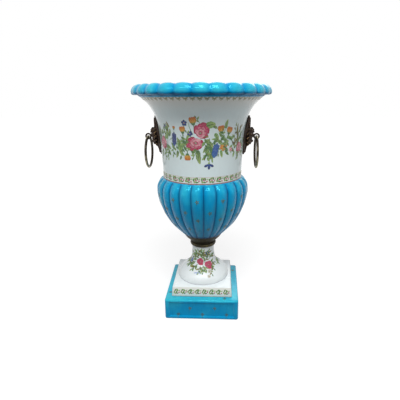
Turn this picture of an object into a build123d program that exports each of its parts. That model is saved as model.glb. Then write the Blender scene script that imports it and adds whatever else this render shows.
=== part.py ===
from build123d import *
import os
from math import cos, radians, sin

# Porcelain urn vase with bronze mounts and ring handles, in millimetres.
# +Z is up and the front faces -Y. The origin is the centre of the plinth's underside.

# Plinth: a square porcelain block, hollow and open below, with a sunk panel on each side
plinth_width = 127.7
plinth_height = 37.3
plinth_wall = 6.0
plinth_deck = 8.0
plinth_corner_radius = 4.0
plinth_top_radius = 3.0
plinth_foot_radius = 2.5
panel_side_margin = 6.5
panel_top_margin = 4.3
panel_foot_margin = 4.2
panel_depth = 1.8
panel_slope_width = 3.0

# Foot: a square slab, a round spreading base and a stem in one hollow casting
slab_foot_width = 105.2
slab_top_width = 102.0
slab_height = 18.0
slab_corner_radius = 1.5
base_radius = 46.0
stem_top_radius = 19.4
stem_height = 63.9
foot_wall = 6.5
foot_cap = 6.0

# Collar: a bronze cup with a bead round its neck
collar_skirt = 3.8
collar_web = 3.0
collar_wall = 2.0
collar_neck_radius = 20.4
collar_bead_radius = 23.4
collar_bead_height = 7.2
collar_top_radius = 35.0
collar_gap = 0.4

# Body: boss in the collar, lobed bowl, flared bell and lobed rim in one casting.
# The two turns are the angles of a lobe of the bowl and of the rim from the +X axis, in degrees.
boss_height = 16.0
boss_clearance = 0.6
bowl_floor = 12.0
floor_radius = 16.0
floor_gasket_radius = 14.5
bowl_height = 103.8
bowl_foot_radius = 36.6
bowl_radius = 79.3
bowl_wall = 5.5
bowl_lobes = 24
bowl_turn = -2.8
bell_height = 136.2
bell_foot_radius = 67.2
bell_top_radius = 104.5
bell_wall = 5.5
shoulder_ledge = 0.4
rim_radius = 114.5
rim_height = 16.0
rim_lip = 3.2
rim_lobes = 28
rim_turn = 2.8

# Gaskets between metal and glaze
stem_gasket_thickness = 0.8
bowl_gasket_thickness = 1.0
gasket_thickness = 1.5

# Tie rod with a nut, a washer and a gasket at each end
rod_radius = 3.0
rod_hole_radius = 3.5
rod_nut_radius = 5.8
rod_nut_height = 5.0
rod_washer_radius = 10.0
rod_washer_thickness = 1.2
rod_end = 2.5
deck_washer_radius = 16.0

# Handles: a lion mask, an eye bolt and a ring on each side
eye_height = 68.4
eye_standoff = 21.2
eye_radius = 4.2
eye_wire_radius = 1.4
shank_radius = 2.0
shank_hole_radius = 2.3
ring_radius = 26.2
ring_wire_radius = 2.15
ring_seat_gap = 0.15
mask_width = 34.0
mask_above_eye = 34.8
mask_below_eye = 31.2
mask_plate = 10.0
mask_clearance = 0.15
head_radius = 16.2
head_standoff = 18.2
mane_radius = 14.4
mane_tuft_radius = 3.4
mane_tufts = 14
mouth_clearance = 0.5
bolt_nut_radius = 4.0
bolt_nut_height = 3.2
bolt_washer_radius = 6.0
bolt_washer_thickness = 1.0
bolt_gasket_radius = 7.0
bolt_end = 1.5

# Clearance of a nut or washer on its thread, and how far every cut runs past its piece
thread_clearance = 0.05
overrun = 2.0

# Heights, from the floor up
plinth_top = plinth_height
slab_top = plinth_top + slab_height
stem_top = slab_top + stem_height
web_foot = stem_top + stem_gasket_thickness
web_top = web_foot + collar_web
body_foot = web_top + bowl_gasket_thickness
bowl_foot = body_foot + boss_height
shoulder = bowl_foot + bowl_height
rim_foot = shoulder + bell_height
rim_top = rim_foot + rim_height
cavity_floor = body_foot + bowl_floor
eye_level = shoulder + eye_height

# Shapes, as (height share, radius share) of the piece that they belong to
foot_shares = [
    (0.0, 0.985),
    (0.06, 1.0),
    (0.14, 0.95),
    (0.23, 0.79),
    (0.32, 0.535),
    (0.395, 0.305),
    (0.465, 0.165),
    (0.55, 0.085),
    (0.67, 0.045),
    (0.86, 0.015),
    (1.0, 0.0),
]
cup_shares = [(0.0, 0.0), (0.18, 0.21), (0.43, 0.56), (0.69, 0.82), (1.0, 1.0)]
bowl_shares = [
    (0.0, 0.0),
    (0.096, 0.225),
    (0.21, 0.47),
    (0.35, 0.69),
    (0.50, 0.855),
    (0.655, 0.965),
    (0.79, 1.0),
    (0.877, 0.98),
    (0.935, 0.915),
    (0.973, 0.835),
]
bowl_groove_share = 0.036
bell_height_shares = [0.0, 0.2, 0.4, 0.56, 0.69, 0.79, 0.87, 0.935, 1.0]
bell_slope_share = 0.19
bell_flare_power = 6.4
rim_section_shares = [(0.83, 0.0), (0.88, 0.72), (0.5, 1.0), (0.32, 0.86), (0.25, 0.55)]
rim_valley_share = 0.9
relief_shares = [(0.0, 0.11), (0.22, 0.43), (0.37, 0.8), (0.5, 1.0), (1.0, 1.0)]
plate_shares = [(0.0, 0.0), (0.13, 0.42), (0.33, 0.88), (0.52, 1.0), (0.72, 0.78), (0.9, 0.3), (1.0, 0.0)]
# The head's shape, as (standoff share, radius share)
head_shares = [(0.42, 1.0), (0.62, 0.94), (0.83, 0.76), (0.94, 0.55), (0.985, 0.36), (1.0, 0.0)]


def foot_outline(wall):
    """Outer line of the stem and its base, drawn in by the wall's thickness."""
    spread = base_radius - stem_top_radius
    return [
        (stem_top_radius + across * spread - wall, slab_top + up * stem_height)
        for up, across in foot_shares
    ]


def cup_outline(inset):
    """Line of the collar's cup from its neck to its lip, drawn in by an inset."""
    height = bowl_foot - collar_gap - web_top
    spread = collar_top_radius - collar_neck_radius
    return [
        (collar_neck_radius + across * spread - inset, web_top + up * height)
        for up, across in cup_shares
    ]


def bowl_sections():
    """Height and lobe radius of each level of the bowl, from its foot to its shoulder."""
    levels = [
        (bowl_foot + up * bowl_height, bowl_foot_radius + across * (bowl_radius - bowl_foot_radius))
        for up, across in bowl_shares
    ]
    return levels + [(shoulder, bell_foot_radius + shoulder_ledge)]


def bell_radius(height):
    """Outer radius of the bell at a height above the floor: a gentle slope and a late flare."""
    up = (height - shoulder) / bell_height
    slope = bell_slope_share * up
    flare = (1 - bell_slope_share) * up**bell_flare_power
    return bell_foot_radius + (bell_top_radius - bell_foot_radius) * (slope + flare)


def bell_outline(outward):
    """Line of the bell from its foot to the rim, moved outward, or inward if negative."""
    heights = [shoulder + share * bell_height for share in bell_height_shares]
    return [(bell_radius(height) + outward, height) for height in heights]


def radial_plane(azimuth, height):
    """Upright plane through the axis, with its X pointing outward at the azimuth."""
    outward = Vector(cos(radians(azimuth)), sin(radians(azimuth)), 0)
    return Plane(origin=(0, 0, height), x_dir=outward, z_dir=outward.cross(Vector(0, 0, 1)))


def write(piece, name):
    """Labels a finished piece and writes its STEP file."""
    piece.part.label = name
    export_step(piece.part, f"parts/{name}.step")


def write_pair(piece, name):
    """Writes a piece made for the right side, and the same piece turned to the left side."""
    for side, turn in (("right", 0), ("left", 180)):
        with BuildPart() as turned:
            add(piece.part, rotation=(0, 0, turn))
        write(turned, f"{name}_{side}")


os.makedirs("parts", exist_ok=True)

# Plinth
with BuildPart() as plinth:
    with BuildSketch():
        RectangleRounded(plinth_width, plinth_width, plinth_corner_radius)
    extrude(amount=plinth_height)
    fillet(plinth.faces().sort_by(Axis.Z)[-1].edges(), radius=plinth_top_radius)
    fillet(plinth.faces().sort_by(Axis.Z)[0].edges(), radius=plinth_foot_radius)
    panel_width = plinth_width - 2 * panel_side_margin
    panel_height = plinth_height - panel_top_margin - panel_foot_margin
    panel_middle = panel_foot_margin + panel_height / 2
    for side in range(4):
        face_plane = Plane(
            origin=Vector(plinth_width / 2, 0, panel_middle).rotate(Axis.Z, 90 * side),
            x_dir=Vector(0, 1, 0).rotate(Axis.Z, 90 * side),
            z_dir=Vector(1, 0, 0).rotate(Axis.Z, 90 * side),
        )
        with BuildSketch(face_plane):
            Rectangle(panel_width, panel_height)
        with BuildSketch(face_plane.offset(-panel_depth)):
            Rectangle(panel_width - 2 * panel_slope_width, panel_height - 2 * panel_slope_width)
        loft(mode=Mode.SUBTRACT)
    with BuildSketch():
        cavity_width = plinth_width - 2 * plinth_wall
        RectangleRounded(cavity_width, cavity_width, plinth_corner_radius)
    extrude(amount=plinth_height - plinth_deck, mode=Mode.SUBTRACT)
    with BuildSketch():
        Circle(rod_hole_radius)
    extrude(amount=plinth_height, mode=Mode.SUBTRACT)
write(plinth, "plinth")

# Foot
with BuildPart() as foot:
    for height, width in ((plinth_top, slab_foot_width), (slab_top, slab_top_width)):
        with BuildSketch(Plane.XY.offset(height)):
            RectangleRounded(width, width, slab_corner_radius)
    loft()
    with BuildSketch(Plane.XZ):
        with BuildLine():
            outer = foot_outline(0)
            Spline(outer)
            Polyline(outer[-1], (0, stem_top), (0, slab_top), outer[0])
        make_face()
    revolve(axis=Axis.Z)
    with BuildSketch(Plane.XZ):
        with BuildLine():
            inner = [point for point in foot_outline(foot_wall) if point[1] < stem_top - foot_cap]
            Spline(inner)
            ceiling = stem_top - foot_cap
            Polyline(
                inner[-1],
                (inner[-1][0], ceiling),
                (0, ceiling),
                (0, plinth_top),
                (inner[0][0], plinth_top),
                inner[0],
            )
        make_face()
    revolve(axis=Axis.Z, mode=Mode.SUBTRACT)
    with BuildSketch(Plane.XY.offset(plinth_top)):
        Circle(rod_hole_radius)
    extrude(amount=stem_top - plinth_top, mode=Mode.SUBTRACT)
write(foot, "foot")

# Collar
with BuildPart() as collar:
    collar_foot = stem_top - collar_skirt
    bead_top = collar_foot + collar_bead_height
    skirt_bore = stem_top_radius + boss_clearance
    cup_outer = cup_outline(0)
    cup_inner = cup_outline(collar_wall)
    with BuildSketch(Plane.XZ):
        with BuildLine():
            ThreePointArc(
                (collar_neck_radius, collar_foot),
                (collar_bead_radius, collar_foot + collar_bead_height / 2),
                (collar_neck_radius, bead_top),
            )
            Polyline((collar_neck_radius, bead_top), cup_outer[0])
            Spline(cup_outer)
            Polyline(cup_outer[-1], cup_inner[-1])
            Spline(cup_inner)
            Polyline(
                cup_inner[0],
                (rod_hole_radius, web_top),
                (rod_hole_radius, web_foot),
                (skirt_bore, web_foot),
                (skirt_bore, collar_foot),
                (collar_neck_radius, collar_foot),
            )
        make_face()
    revolve(axis=Axis.Z)
write(collar, "collar")

# One lobe of the rim, from valley to valley
with BuildPart() as rim_lobe:
    roll_width = rim_radius - bell_top_radius + 2 * bell_wall
    for azimuth, size in ((-1, rim_valley_share), (0, 1), (1, rim_valley_share)):
        with BuildSketch(radial_plane(azimuth * 180 / rim_lobes, rim_foot)):
            with BuildLine():
                width = roll_width * size
                height = rim_height * size
                inside = rim_radius - roll_width
                under, bulge, crest, brow, inner_edge = [
                    (inside + across * width, up * height) for across, up in rim_section_shares
                ]
                lip = (inside + width, rim_lip)
                Polyline(inner_edge, (inside, 0), under, lip)
                ThreePointArc(lip, bulge, crest)
                ThreePointArc(crest, brow, inner_edge)
            make_face()
    loft()

# Body
with BuildPart() as body:
    for height, crest_radius in bowl_sections():
        groove_radius = crest_radius if height == shoulder else crest_radius * (1 - bowl_groove_share)
        with BuildSketch(Plane.XY.offset(height)):
            with BuildLine():
                for lobe in range(bowl_lobes):
                    valley, crest, next_valley = [
                        Vector(radius, 0).rotate(Axis.Z, bowl_turn + (lobe + turn) * 360 / bowl_lobes)
                        for radius, turn in ((groove_radius, -0.5), (crest_radius, 0), (groove_radius, 0.5))
                    ]
                    ThreePointArc(valley, crest, next_valley)
            make_face()
    loft()
    with BuildSketch(Plane.XZ):
        with BuildLine():
            bell = bell_outline(0)
            Spline(bell)
            Polyline(bell[-1], (0, rim_foot), (0, shoulder), bell[0])
        make_face()
    revolve(axis=Axis.Z)
    with PolarLocations(0, rim_lobes, start_angle=rim_turn):
        add(rim_lobe.part)
    with BuildSketch(Plane.XZ):
        with BuildLine():
            boss = cup_outline(collar_wall + boss_clearance)
            Spline(boss)
            Polyline(boss[-1], (boss[-1][0], bowl_foot), (0, bowl_foot), (0, boss[0][1]), boss[0])
        make_face()
    revolve(axis=Axis.Z)
    with BuildSketch(Plane.XY.offset(body_foot)):
        Circle(collar_top_radius)
    extrude(amount=-boss_height, mode=Mode.SUBTRACT)
    with BuildSketch(Plane.XZ):
        with BuildLine():
            bell_inside = bell_outline(-bell_wall)
            bowl_inside = [
                (crest_radius * (1 - bowl_groove_share) - bowl_wall, height)
                for height, crest_radius in bowl_sections()[1:-1]
            ]
            Spline([(floor_radius, cavity_floor)] + bowl_inside + [bell_inside[0]])
            Spline(bell_inside)
            mouth_edge = (bell_inside[-1][0], rim_top + overrun)
            Polyline(
                bell_inside[-1],
                mouth_edge,
                (0, rim_top + overrun),
                (0, cavity_floor),
                (floor_radius, cavity_floor),
            )
        make_face()
    revolve(axis=Axis.Z, mode=Mode.SUBTRACT)
    with BuildSketch(Plane.XY.offset(body_foot)):
        Circle(rod_hole_radius)
    extrude(amount=bowl_floor, mode=Mode.SUBTRACT)
    with BuildSketch(Plane.YZ):
        with Locations((0, eye_level)):
            Circle(shank_hole_radius)
    extrude(amount=bell_top_radius, both=True, mode=Mode.SUBTRACT)
write(body, "vase_body")


def write_disc(name, floor, thickness, outer_radius, bore_radius):
    """A flat round gasket or washer on the vase's axis."""
    with BuildPart() as disc:
        with BuildSketch(Plane.XY.offset(floor)):
            Circle(outer_radius)
            Circle(bore_radius, mode=Mode.SUBTRACT)
        extrude(amount=thickness)
    write(disc, name)


def write_rod_nut(name, floor):
    """A hexagon nut on the tie rod."""
    with BuildPart() as nut:
        with BuildSketch(Plane.XY.offset(floor)):
            RegularPolygon(rod_nut_radius, 6)
            Circle(rod_radius + thread_clearance, mode=Mode.SUBTRACT)
        extrude(amount=rod_nut_height)
    write(nut, name)


# Gaskets between the collar and its two neighbours
write_disc("stem_gasket", stem_top, stem_gasket_thickness, stem_top_radius, rod_hole_radius)
write_disc("bowl_gasket", web_top, bowl_gasket_thickness, floor_radius, rod_hole_radius)

# Gasket, washer and nut on the bowl's floor
floor_washer_foot = cavity_floor + gasket_thickness
floor_nut_foot = floor_washer_foot + rod_washer_thickness
rod_bore = rod_radius + thread_clearance
write_disc("floor_gasket", cavity_floor, gasket_thickness, floor_gasket_radius, rod_hole_radius)
write_disc("floor_washer", floor_washer_foot, rod_washer_thickness, rod_washer_radius, rod_bore)
write_rod_nut("floor_nut", floor_nut_foot)

# Gasket, washer and nut under the plinth's deck
deck_gasket_foot = plinth_top - plinth_deck - gasket_thickness
deck_washer_foot = deck_gasket_foot - rod_washer_thickness
deck_nut_foot = deck_washer_foot - rod_nut_height
write_disc("deck_gasket", deck_gasket_foot, gasket_thickness, deck_washer_radius, rod_hole_radius)
write_disc("deck_washer", deck_washer_foot, rod_washer_thickness, deck_washer_radius, rod_bore)
write_rod_nut("deck_nut", deck_nut_foot)

# Tie rod
with BuildPart() as tie_rod:
    rod_foot = deck_nut_foot - rod_end
    rod_top = floor_nut_foot + rod_nut_height + rod_end
    with BuildSketch(Plane.XY.offset(rod_foot)):
        Circle(rod_radius)
    extrude(amount=rod_top - rod_foot)
    chamfer(tie_rod.edges().filter_by(GeomType.CIRCLE), length=rod_radius / 5)
write(tie_rod, "tie_rod")

# Handles, made for the right side, where they stand out from the wall along +X
wall_x = bell_radius(eye_level)
eye_x = wall_x + eye_standoff
eye_reach = eye_radius + eye_wire_radius

# Mask: a pointed plate that follows the wall, with a lion's head in a ring of mane tufts
with BuildPart() as mask:
    mask_foot = eye_level - mask_below_eye
    mask_height = mask_below_eye + mask_above_eye
    with BuildSketch(Plane.XZ):
        relief = [
            (wall_x + across * mask_plate, mask_foot + up * mask_height) for up, across in relief_shares
        ]
        with BuildLine():
            behind = wall_x - mask_plate
            Polyline((behind, mask_foot), *relief, (behind, mask_foot + mask_height), (behind, mask_foot))
        make_face()
    revolve(axis=Axis.Z)
    with BuildSketch(Plane.YZ):
        with BuildLine():
            for side in (-1, 1):
                half_width = side * mask_width / 2
                Spline([(across * half_width, mask_foot + up * mask_height) for up, across in plate_shares])
        make_face()
    extrude(amount=wall_x + head_standoff, mode=Mode.INTERSECT)
    with BuildSketch(Plane.XZ):
        with BuildLine():
            head = [
                (wall_x + out * head_standoff, eye_level + up * head_radius) for out, up in head_shares
            ]
            Spline(head)
            Polyline(head[-1], (wall_x - mask_plate, eye_level), (wall_x - mask_plate, head[0][1]), head[0])
        make_face()
    revolve(axis=Axis((0, 0, eye_level), (1, 0, 0)))
    with Locations(Plane(origin=(head[0][0], 0, eye_level), x_dir=(0, 1, 0), z_dir=(1, 0, 0))):
        with PolarLocations(mane_radius, mane_tufts):
            Sphere(mane_tuft_radius)
    with BuildSketch(Plane.XZ):
        with Locations((eye_x, eye_level)):
            Circle(eye_reach + mouth_clearance)
    extrude(amount=eye_wire_radius + mouth_clearance, both=True, mode=Mode.SUBTRACT)
    with BuildSketch(Plane.YZ):
        with Locations((0, eye_level)):
            Circle(shank_hole_radius)
    extrude(amount=wall_x + head_standoff, mode=Mode.SUBTRACT)
    with BuildSketch(Plane.XZ):
        with BuildLine():
            back = bell_outline(mask_clearance)
            Spline(back)
            Polyline(back[-1], (0, rim_foot), (0, shoulder), back[0])
        make_face()
    revolve(axis=Axis.Z, mode=Mode.SUBTRACT)
write_pair(mask, "mask")

# Gasket, washer and nut that hold the eye bolt inside the bell
washer_x = wall_x - bell_wall - gasket_thickness
bolt_nut_x = washer_x - bolt_washer_thickness
bolt_bore = shank_radius + thread_clearance
with BuildPart() as bolt_gasket:
    with BuildSketch(Plane.XZ):
        with BuildLine():
            seat = bell_outline(-bell_wall - mask_clearance)
            Spline(seat)
            Polyline(seat[-1], (0, rim_foot), (0, shoulder), seat[0])
        make_face()
    revolve(axis=Axis.Z)
    with BuildSketch(Plane.YZ.offset(washer_x)):
        with Locations((0, eye_level)):
            Circle(bolt_gasket_radius)
            Circle(shank_hole_radius, mode=Mode.SUBTRACT)
    extrude(amount=gasket_thickness, mode=Mode.INTERSECT)
write_pair(bolt_gasket, "bolt_gasket")

with BuildPart() as bolt_washer:
    with BuildSketch(Plane.YZ.offset(bolt_nut_x)):
        with Locations((0, eye_level)):
            Circle(bolt_washer_radius)
            Circle(bolt_bore, mode=Mode.SUBTRACT)
    extrude(amount=bolt_washer_thickness)
write_pair(bolt_washer, "bolt_washer")

with BuildPart() as bolt_nut:
    with BuildSketch(Plane.YZ.offset(bolt_nut_x)):
        with Locations((0, eye_level)):
            RegularPolygon(bolt_nut_radius, 6)
            Circle(bolt_bore, mode=Mode.SUBTRACT)
    extrude(amount=-bolt_nut_height)
write_pair(bolt_nut, "bolt_nut")

# Eye bolt: a round eye on a shank that runs through the mask and the wall
with BuildPart() as eye_bolt:
    shank_end = bolt_nut_x - bolt_nut_height - bolt_end
    with BuildSketch(Plane.YZ.offset(shank_end)):
        with Locations((0, eye_level)):
            Circle(shank_radius)
    extrude(amount=eye_x - eye_radius - shank_end)
    with BuildSketch(Plane.XY.offset(eye_level)):
        with Locations((eye_x + eye_radius, 0)):
            Circle(eye_wire_radius)
    revolve(axis=Axis((eye_x, 0, eye_level), (0, 1, 0)))
write_pair(eye_bolt, "eye_bolt")

# Ring: it hangs in the eye, with its wire just clear of the eye's lowest point
with BuildPart() as ring:
    ring_pivot = eye_level - eye_radius + eye_wire_radius + ring_seat_gap + ring_wire_radius
    ring_centre = ring_pivot - ring_radius
    with BuildSketch(Plane.XZ):
        with Locations((eye_x, ring_pivot)):
            Circle(ring_wire_radius)
    revolve(axis=Axis((eye_x, 0, ring_centre), (1, 0, 0)))
write_pair(ring, "ring")
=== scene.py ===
from math import atan2, cos, degrees, dist, pi, radians, sin, sqrt, tau

import bmesh
import bpy
from mathutils import Matrix, Vector, noise
from mathutils.geometry import interpolate_bezier


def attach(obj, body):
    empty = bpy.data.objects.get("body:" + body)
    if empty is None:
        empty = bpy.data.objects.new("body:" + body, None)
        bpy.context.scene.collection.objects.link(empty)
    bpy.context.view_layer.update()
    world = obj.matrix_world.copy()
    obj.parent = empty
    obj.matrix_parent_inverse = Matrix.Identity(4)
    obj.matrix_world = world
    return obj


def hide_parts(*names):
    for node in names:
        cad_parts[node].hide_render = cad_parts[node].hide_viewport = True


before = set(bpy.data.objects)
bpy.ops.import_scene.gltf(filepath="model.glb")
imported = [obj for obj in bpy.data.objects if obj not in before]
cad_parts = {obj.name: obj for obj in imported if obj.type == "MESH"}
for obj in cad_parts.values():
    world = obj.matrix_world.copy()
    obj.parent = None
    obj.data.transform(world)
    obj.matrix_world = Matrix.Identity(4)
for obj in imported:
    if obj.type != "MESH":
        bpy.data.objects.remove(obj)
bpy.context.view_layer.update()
scene = bpy.context.scene
scene.view_settings.view_transform = "Standard"

# Camera. It stands a little over half a metre in front of the vase, just below the height of its
# rim, and looks slightly down on it. The small shift puts the vase off the middle of the frame.
camera = bpy.data.objects.new("camera", bpy.data.cameras.new("camera"))
scene.collection.objects.link(camera)
scene.camera = camera
camera.data.sensor_width, camera.data.lens = 36, 29.43
camera.data.shift_x, camera.data.shift_y = -0.025, -0.05
camera_place = (0.03595, -0.55809, 0.37433)
pitch, yaw, roll = radians(13.99), radians(-2.34), radians(-0.21)
aim = Matrix.Rotation(-yaw, 4, "Z") @ Matrix.Rotation(pi / 2 - pitch, 4, "X")
camera.matrix_world = Matrix.Translation(camera_place) @ aim @ Matrix.Rotation(roll, 4, "Z")

# Floor and studio. The floor is a pale matt sheet that runs off to white, and it keeps the vase's
# shadow. Two soft lamps hang before the vase, weaker ones stand behind and on either side of it,
# and the room gives an even fill all round.
fill_level = 0.17
floor_half, floor_steps = 6, 8
glow_start, glow_stop, near_glow, far_glow = 0.3, 2.0, 0.76, 1.0
lamps = {  # place, what it points at, width and depth, power
    "key_lamp": ((-0.10, -1.02, 1.42), (0, 0, 0.25), (1.50, 0.19), 13.2),
    "overhead_lamp": ((0.10, -0.66, 1.62), (0, 0, 0.1), (0.5, 0.5), 11.5),
    "back_lamp": ((0.35, 1.35, 1.15), (0, 0, 0.2), (1.2, 0.6), 5.0),
    "left_lamp": ((-1.15, -0.50, 0.50), (0, 0, 0.28), (0.5, 0.9), 2.2),
    "right_lamp": ((1.15, -0.50, 0.50), (0, 0, 0.28), (0.5, 0.9), 2.3),
}


def feed(tree, node, inputs):
    """Sets inputs of a node to values, or joins them to the outputs that are given for them."""
    for name, value in inputs.items():
        if isinstance(value, bpy.types.NodeSocket):
            tree.links.new(value, node.inputs[name])
        else:
            node.inputs[name].default_value = value


def add_node(tree, kind, inputs=None, **settings):
    """A shader node with its settings and its inputs."""
    made = tree.nodes.new("ShaderNode" + kind)
    for name, value in settings.items():
        setattr(made, name, value)
    feed(tree, made, inputs or {})
    return made


def reckon(tree, operation, first, second=0.0, third=0.0, clamp=False):
    """The output of a Math node."""
    values = {0: first, 1: second, 2: third}
    return add_node(tree, "Math", values, operation=operation, use_clamp=clamp).outputs[0]


def ramp(tree, value, low, high, to_low=0.0, to_high=1.0, kind="SMOOTHSTEP"):
    """A step of a value between two limits, smooth unless its kind says otherwise."""
    limits = {"Value": value, "From Min": low, "From Max": high, "To Min": to_low, "To Max": to_high}
    return add_node(tree, "MapRange", limits, interpolation_type=kind).outputs[0]


def on_piece(tree, drawn=None):
    """Places on a piece, in metres, where a pattern can be drawn out along an axis."""
    place = add_node(tree, "TexCoord").outputs["Object"]
    if drawn:
        place = add_node(tree, "Mapping", {"Vector": place, "Scale": drawn}).outputs[0]
    return place


def new_finish(name, values):
    """A material with values on its own Principled shader, as (material, tree, shader)."""
    finish = bpy.data.materials.new(name)
    finish.use_nodes = True
    shader = finish.node_tree.nodes["Principled BSDF"]
    feed(finish.node_tree, shader, values)
    return finish, finish.node_tree, shader


def seen_directly(tree):
    """One on rays that show the background: to the camera, in gloss and through glass."""
    path = add_node(tree, "LightPath").outputs
    direct = reckon(tree, "MAXIMUM", path["Is Camera Ray"], path["Is Glossy Ray"])
    return reckon(tree, "MAXIMUM", direct, path["Is Transmission Ray"])


world = bpy.data.worlds.new("studio")
scene.world = world
world.use_nodes = True
tree = world.node_tree
tree.nodes.clear()
level = ramp(tree, seen_directly(tree), 0.0, 1.0, fill_level, 1.0, "LINEAR")
sky = add_node(tree, "Background", {"Color": (1, 1, 1, 1), "Strength": level})
add_node(tree, "OutputWorld", {"Surface": sky.outputs[0]})

paper = {"Base Color": (0.34, 0.34, 0.34, 1), "Roughness": 0.9, "Specular IOR Level": 0.0,
         "Emission Color": (1, 1, 1, 1)}
floor_paper, tree, shader = new_finish("floor_paper", paper)
away = add_node(tree, "VectorMath", {0: on_piece(tree)}, operation="LENGTH").outputs["Value"]
glow = ramp(tree, away, glow_start, glow_stop, near_glow, far_glow, "LINEAR")
feed(tree, shader, {"Emission Strength": reckon(tree, "MULTIPLY", seen_directly(tree), glow)})
floor_bm = bmesh.new()
bmesh.ops.create_grid(floor_bm, x_segments=floor_steps, y_segments=floor_steps, size=floor_half)
floor = bpy.data.objects.new("floor", bpy.data.meshes.new("floor"))
floor_bm.to_mesh(floor.data)
floor_bm.free()
floor.data.materials.append(floor_paper)
scene.collection.objects.link(floor)

for name, (place, aim_at, size, power) in lamps.items():
    lamp = bpy.data.objects.new(name, bpy.data.lights.new(name, "AREA"))
    lamp.data.shape = "RECTANGLE"
    lamp.data.size, lamp.data.size_y = size
    lamp.data.energy = power
    lamp.location = place
    lamp.rotation_mode = "QUATERNION"
    lamp.rotation_quaternion = (Vector(aim_at) - Vector(place)).to_track_quat("-Z", "Y")
    scene.collection.objects.link(lamp)


# Glazes. Each is a coloured or white glass fired on the porcelain: it pools darker in the hollows,
# breaks a little over the raised forms, and its skin has a faint ripple and pinholes.
cloud_waves, polish_waves, ripple_waves, run_waves, pinhole_waves, speck_waves = 26, 60, 130, 210, 900, 1500
long_runs, ripple_depth, pinhole_depth = (1.0, 1.0, 0.22), 0.00022, 0.25
cloud_share, run_share, speck_share, pool_dullness = 0.45, 0.12, 0.35, 0.34


def new_group(name, inputs, outputs):
    """An empty shader group with sockets of given kinds, as (tree, its inputs, the node at its end)."""
    group = bpy.data.node_groups.new(name, "ShaderNodeTree")
    for way, sockets in (("INPUT", inputs), ("OUTPUT", outputs)):
        for title, kind in sockets.items():
            group.interface.new_socket(title, in_out=way, socket_type="NodeSocket" + kind)
    return group, group.nodes.new("NodeGroupInput").outputs, group.nodes.new("NodeGroupOutput")


def use_group(tree, shader, group, inputs):
    """Feeds a shader from a group, whose outputs are named as its inputs are, but for its colour."""
    made = add_node(tree, "Group", inputs, node_tree=group)
    feed(tree, shader, {output.name.replace("Colour", "Base Color"): output for output in made.outputs})


def mix_colour(tree, share, first, second):
    """The output of a colour mix; the share and both colours may be outputs or values."""
    return add_node(tree, "Mix", {0: share, 6: first, 7: second}, data_type="RGBA").outputs[2]


def noise_at(tree, place, scale, detail=2.0, roughness=0.5):
    """The output of a noise texture, its scale in waves to the metre."""
    values = {"Vector": place, "Scale": scale, "Detail": detail, "Roughness": roughness}
    return add_node(tree, "TexNoise", values).outputs["Fac"]


def bump_of(tree, height, distance, strength=1.0):
    """The normal of a skin that a pattern raises by so many metres."""
    return add_node(tree, "Bump", {"Strength": strength, "Distance": distance, "Height": height}).outputs[0]


def layer_of(tree, name, output="Fac"):
    """The values or colours that a piece's mesh holds in a layer."""
    return add_node(tree, "Attribute", attribute_name=name, attribute_type="GEOMETRY").outputs[output]


glaze, given, fired = new_group(
    "fired_glaze",
    {"Colour": "Color", "Pool Colour": "Color", "Break Colour": "Color", "Pool": "Float"},
    {"Colour": "Color", "Roughness": "Float", "Normal": "Vector"},
)
place = on_piece(glaze)
thin = reckon(glaze, "MULTIPLY", given["Pool"], -1.0, clamp=True)
cloud = ramp(glaze, noise_at(glaze, place, cloud_waves, 4.0), 0.45, 0.75)
broken = reckon(glaze, "MULTIPLY_ADD", cloud, cloud_share, thin, clamp=True)
tinted = mix_colour(glaze, broken, given["Colour"], given["Break Colour"])
run = ramp(glaze, noise_at(glaze, on_piece(glaze, long_runs), run_waves, 3.0), 0.42, 0.72)
gathered = reckon(glaze, "MAXIMUM", given["Pool"], 0.0)
pool_share = reckon(glaze, "MULTIPLY_ADD", run, run_share, gathered, clamp=True)
pooled = mix_colour(glaze, pool_share, tinted, given["Pool Colour"])
speck = ramp(glaze, noise_at(glaze, place, speck_waves, 1.0), 0.74, 0.80, 0.0, speck_share)
pinhole = ramp(glaze, noise_at(glaze, place, pinhole_waves, 0.0), 0.78, 0.84)
relief = reckon(glaze, "MULTIPLY_ADD", pinhole, -pinhole_depth, noise_at(glaze, place, ripple_waves))
polish = ramp(glaze, noise_at(glaze, place, polish_waves, 3.0), 0.3, 0.8, 0.05, 0.13)
dulled = ramp(glaze, given["Pool"], 0.05, 0.40)
feed(glaze, fired, {
    "Colour": mix_colour(glaze, speck, pooled, given["Pool Colour"]),
    "Roughness": reckon(glaze, "MULTIPLY_ADD", dulled, pool_dullness, polish),
    "Normal": bump_of(glaze, relief, ripple_depth),
})

# The turquoise is coloured by its piece's pool layer, which holds pooled and thin glaze and also painted
# shade and painted light.
glass = {"Specular IOR Level": 0.36, "Specular Tint": (0.12, 0.92, 1.0, 1)}
turquoise, tree, shader = new_finish("turquoise_glaze", glass)
use_group(tree, shader, glaze, {
    "Colour": (0.0005, 0.272, 0.560, 1), "Pool Colour": (0.0005, 0.052, 0.160, 1),
    "Break Colour": (0.035, 0.480, 0.620, 1), "Pool": layer_of(tree, "pool_and_painted_light"),
})

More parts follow.
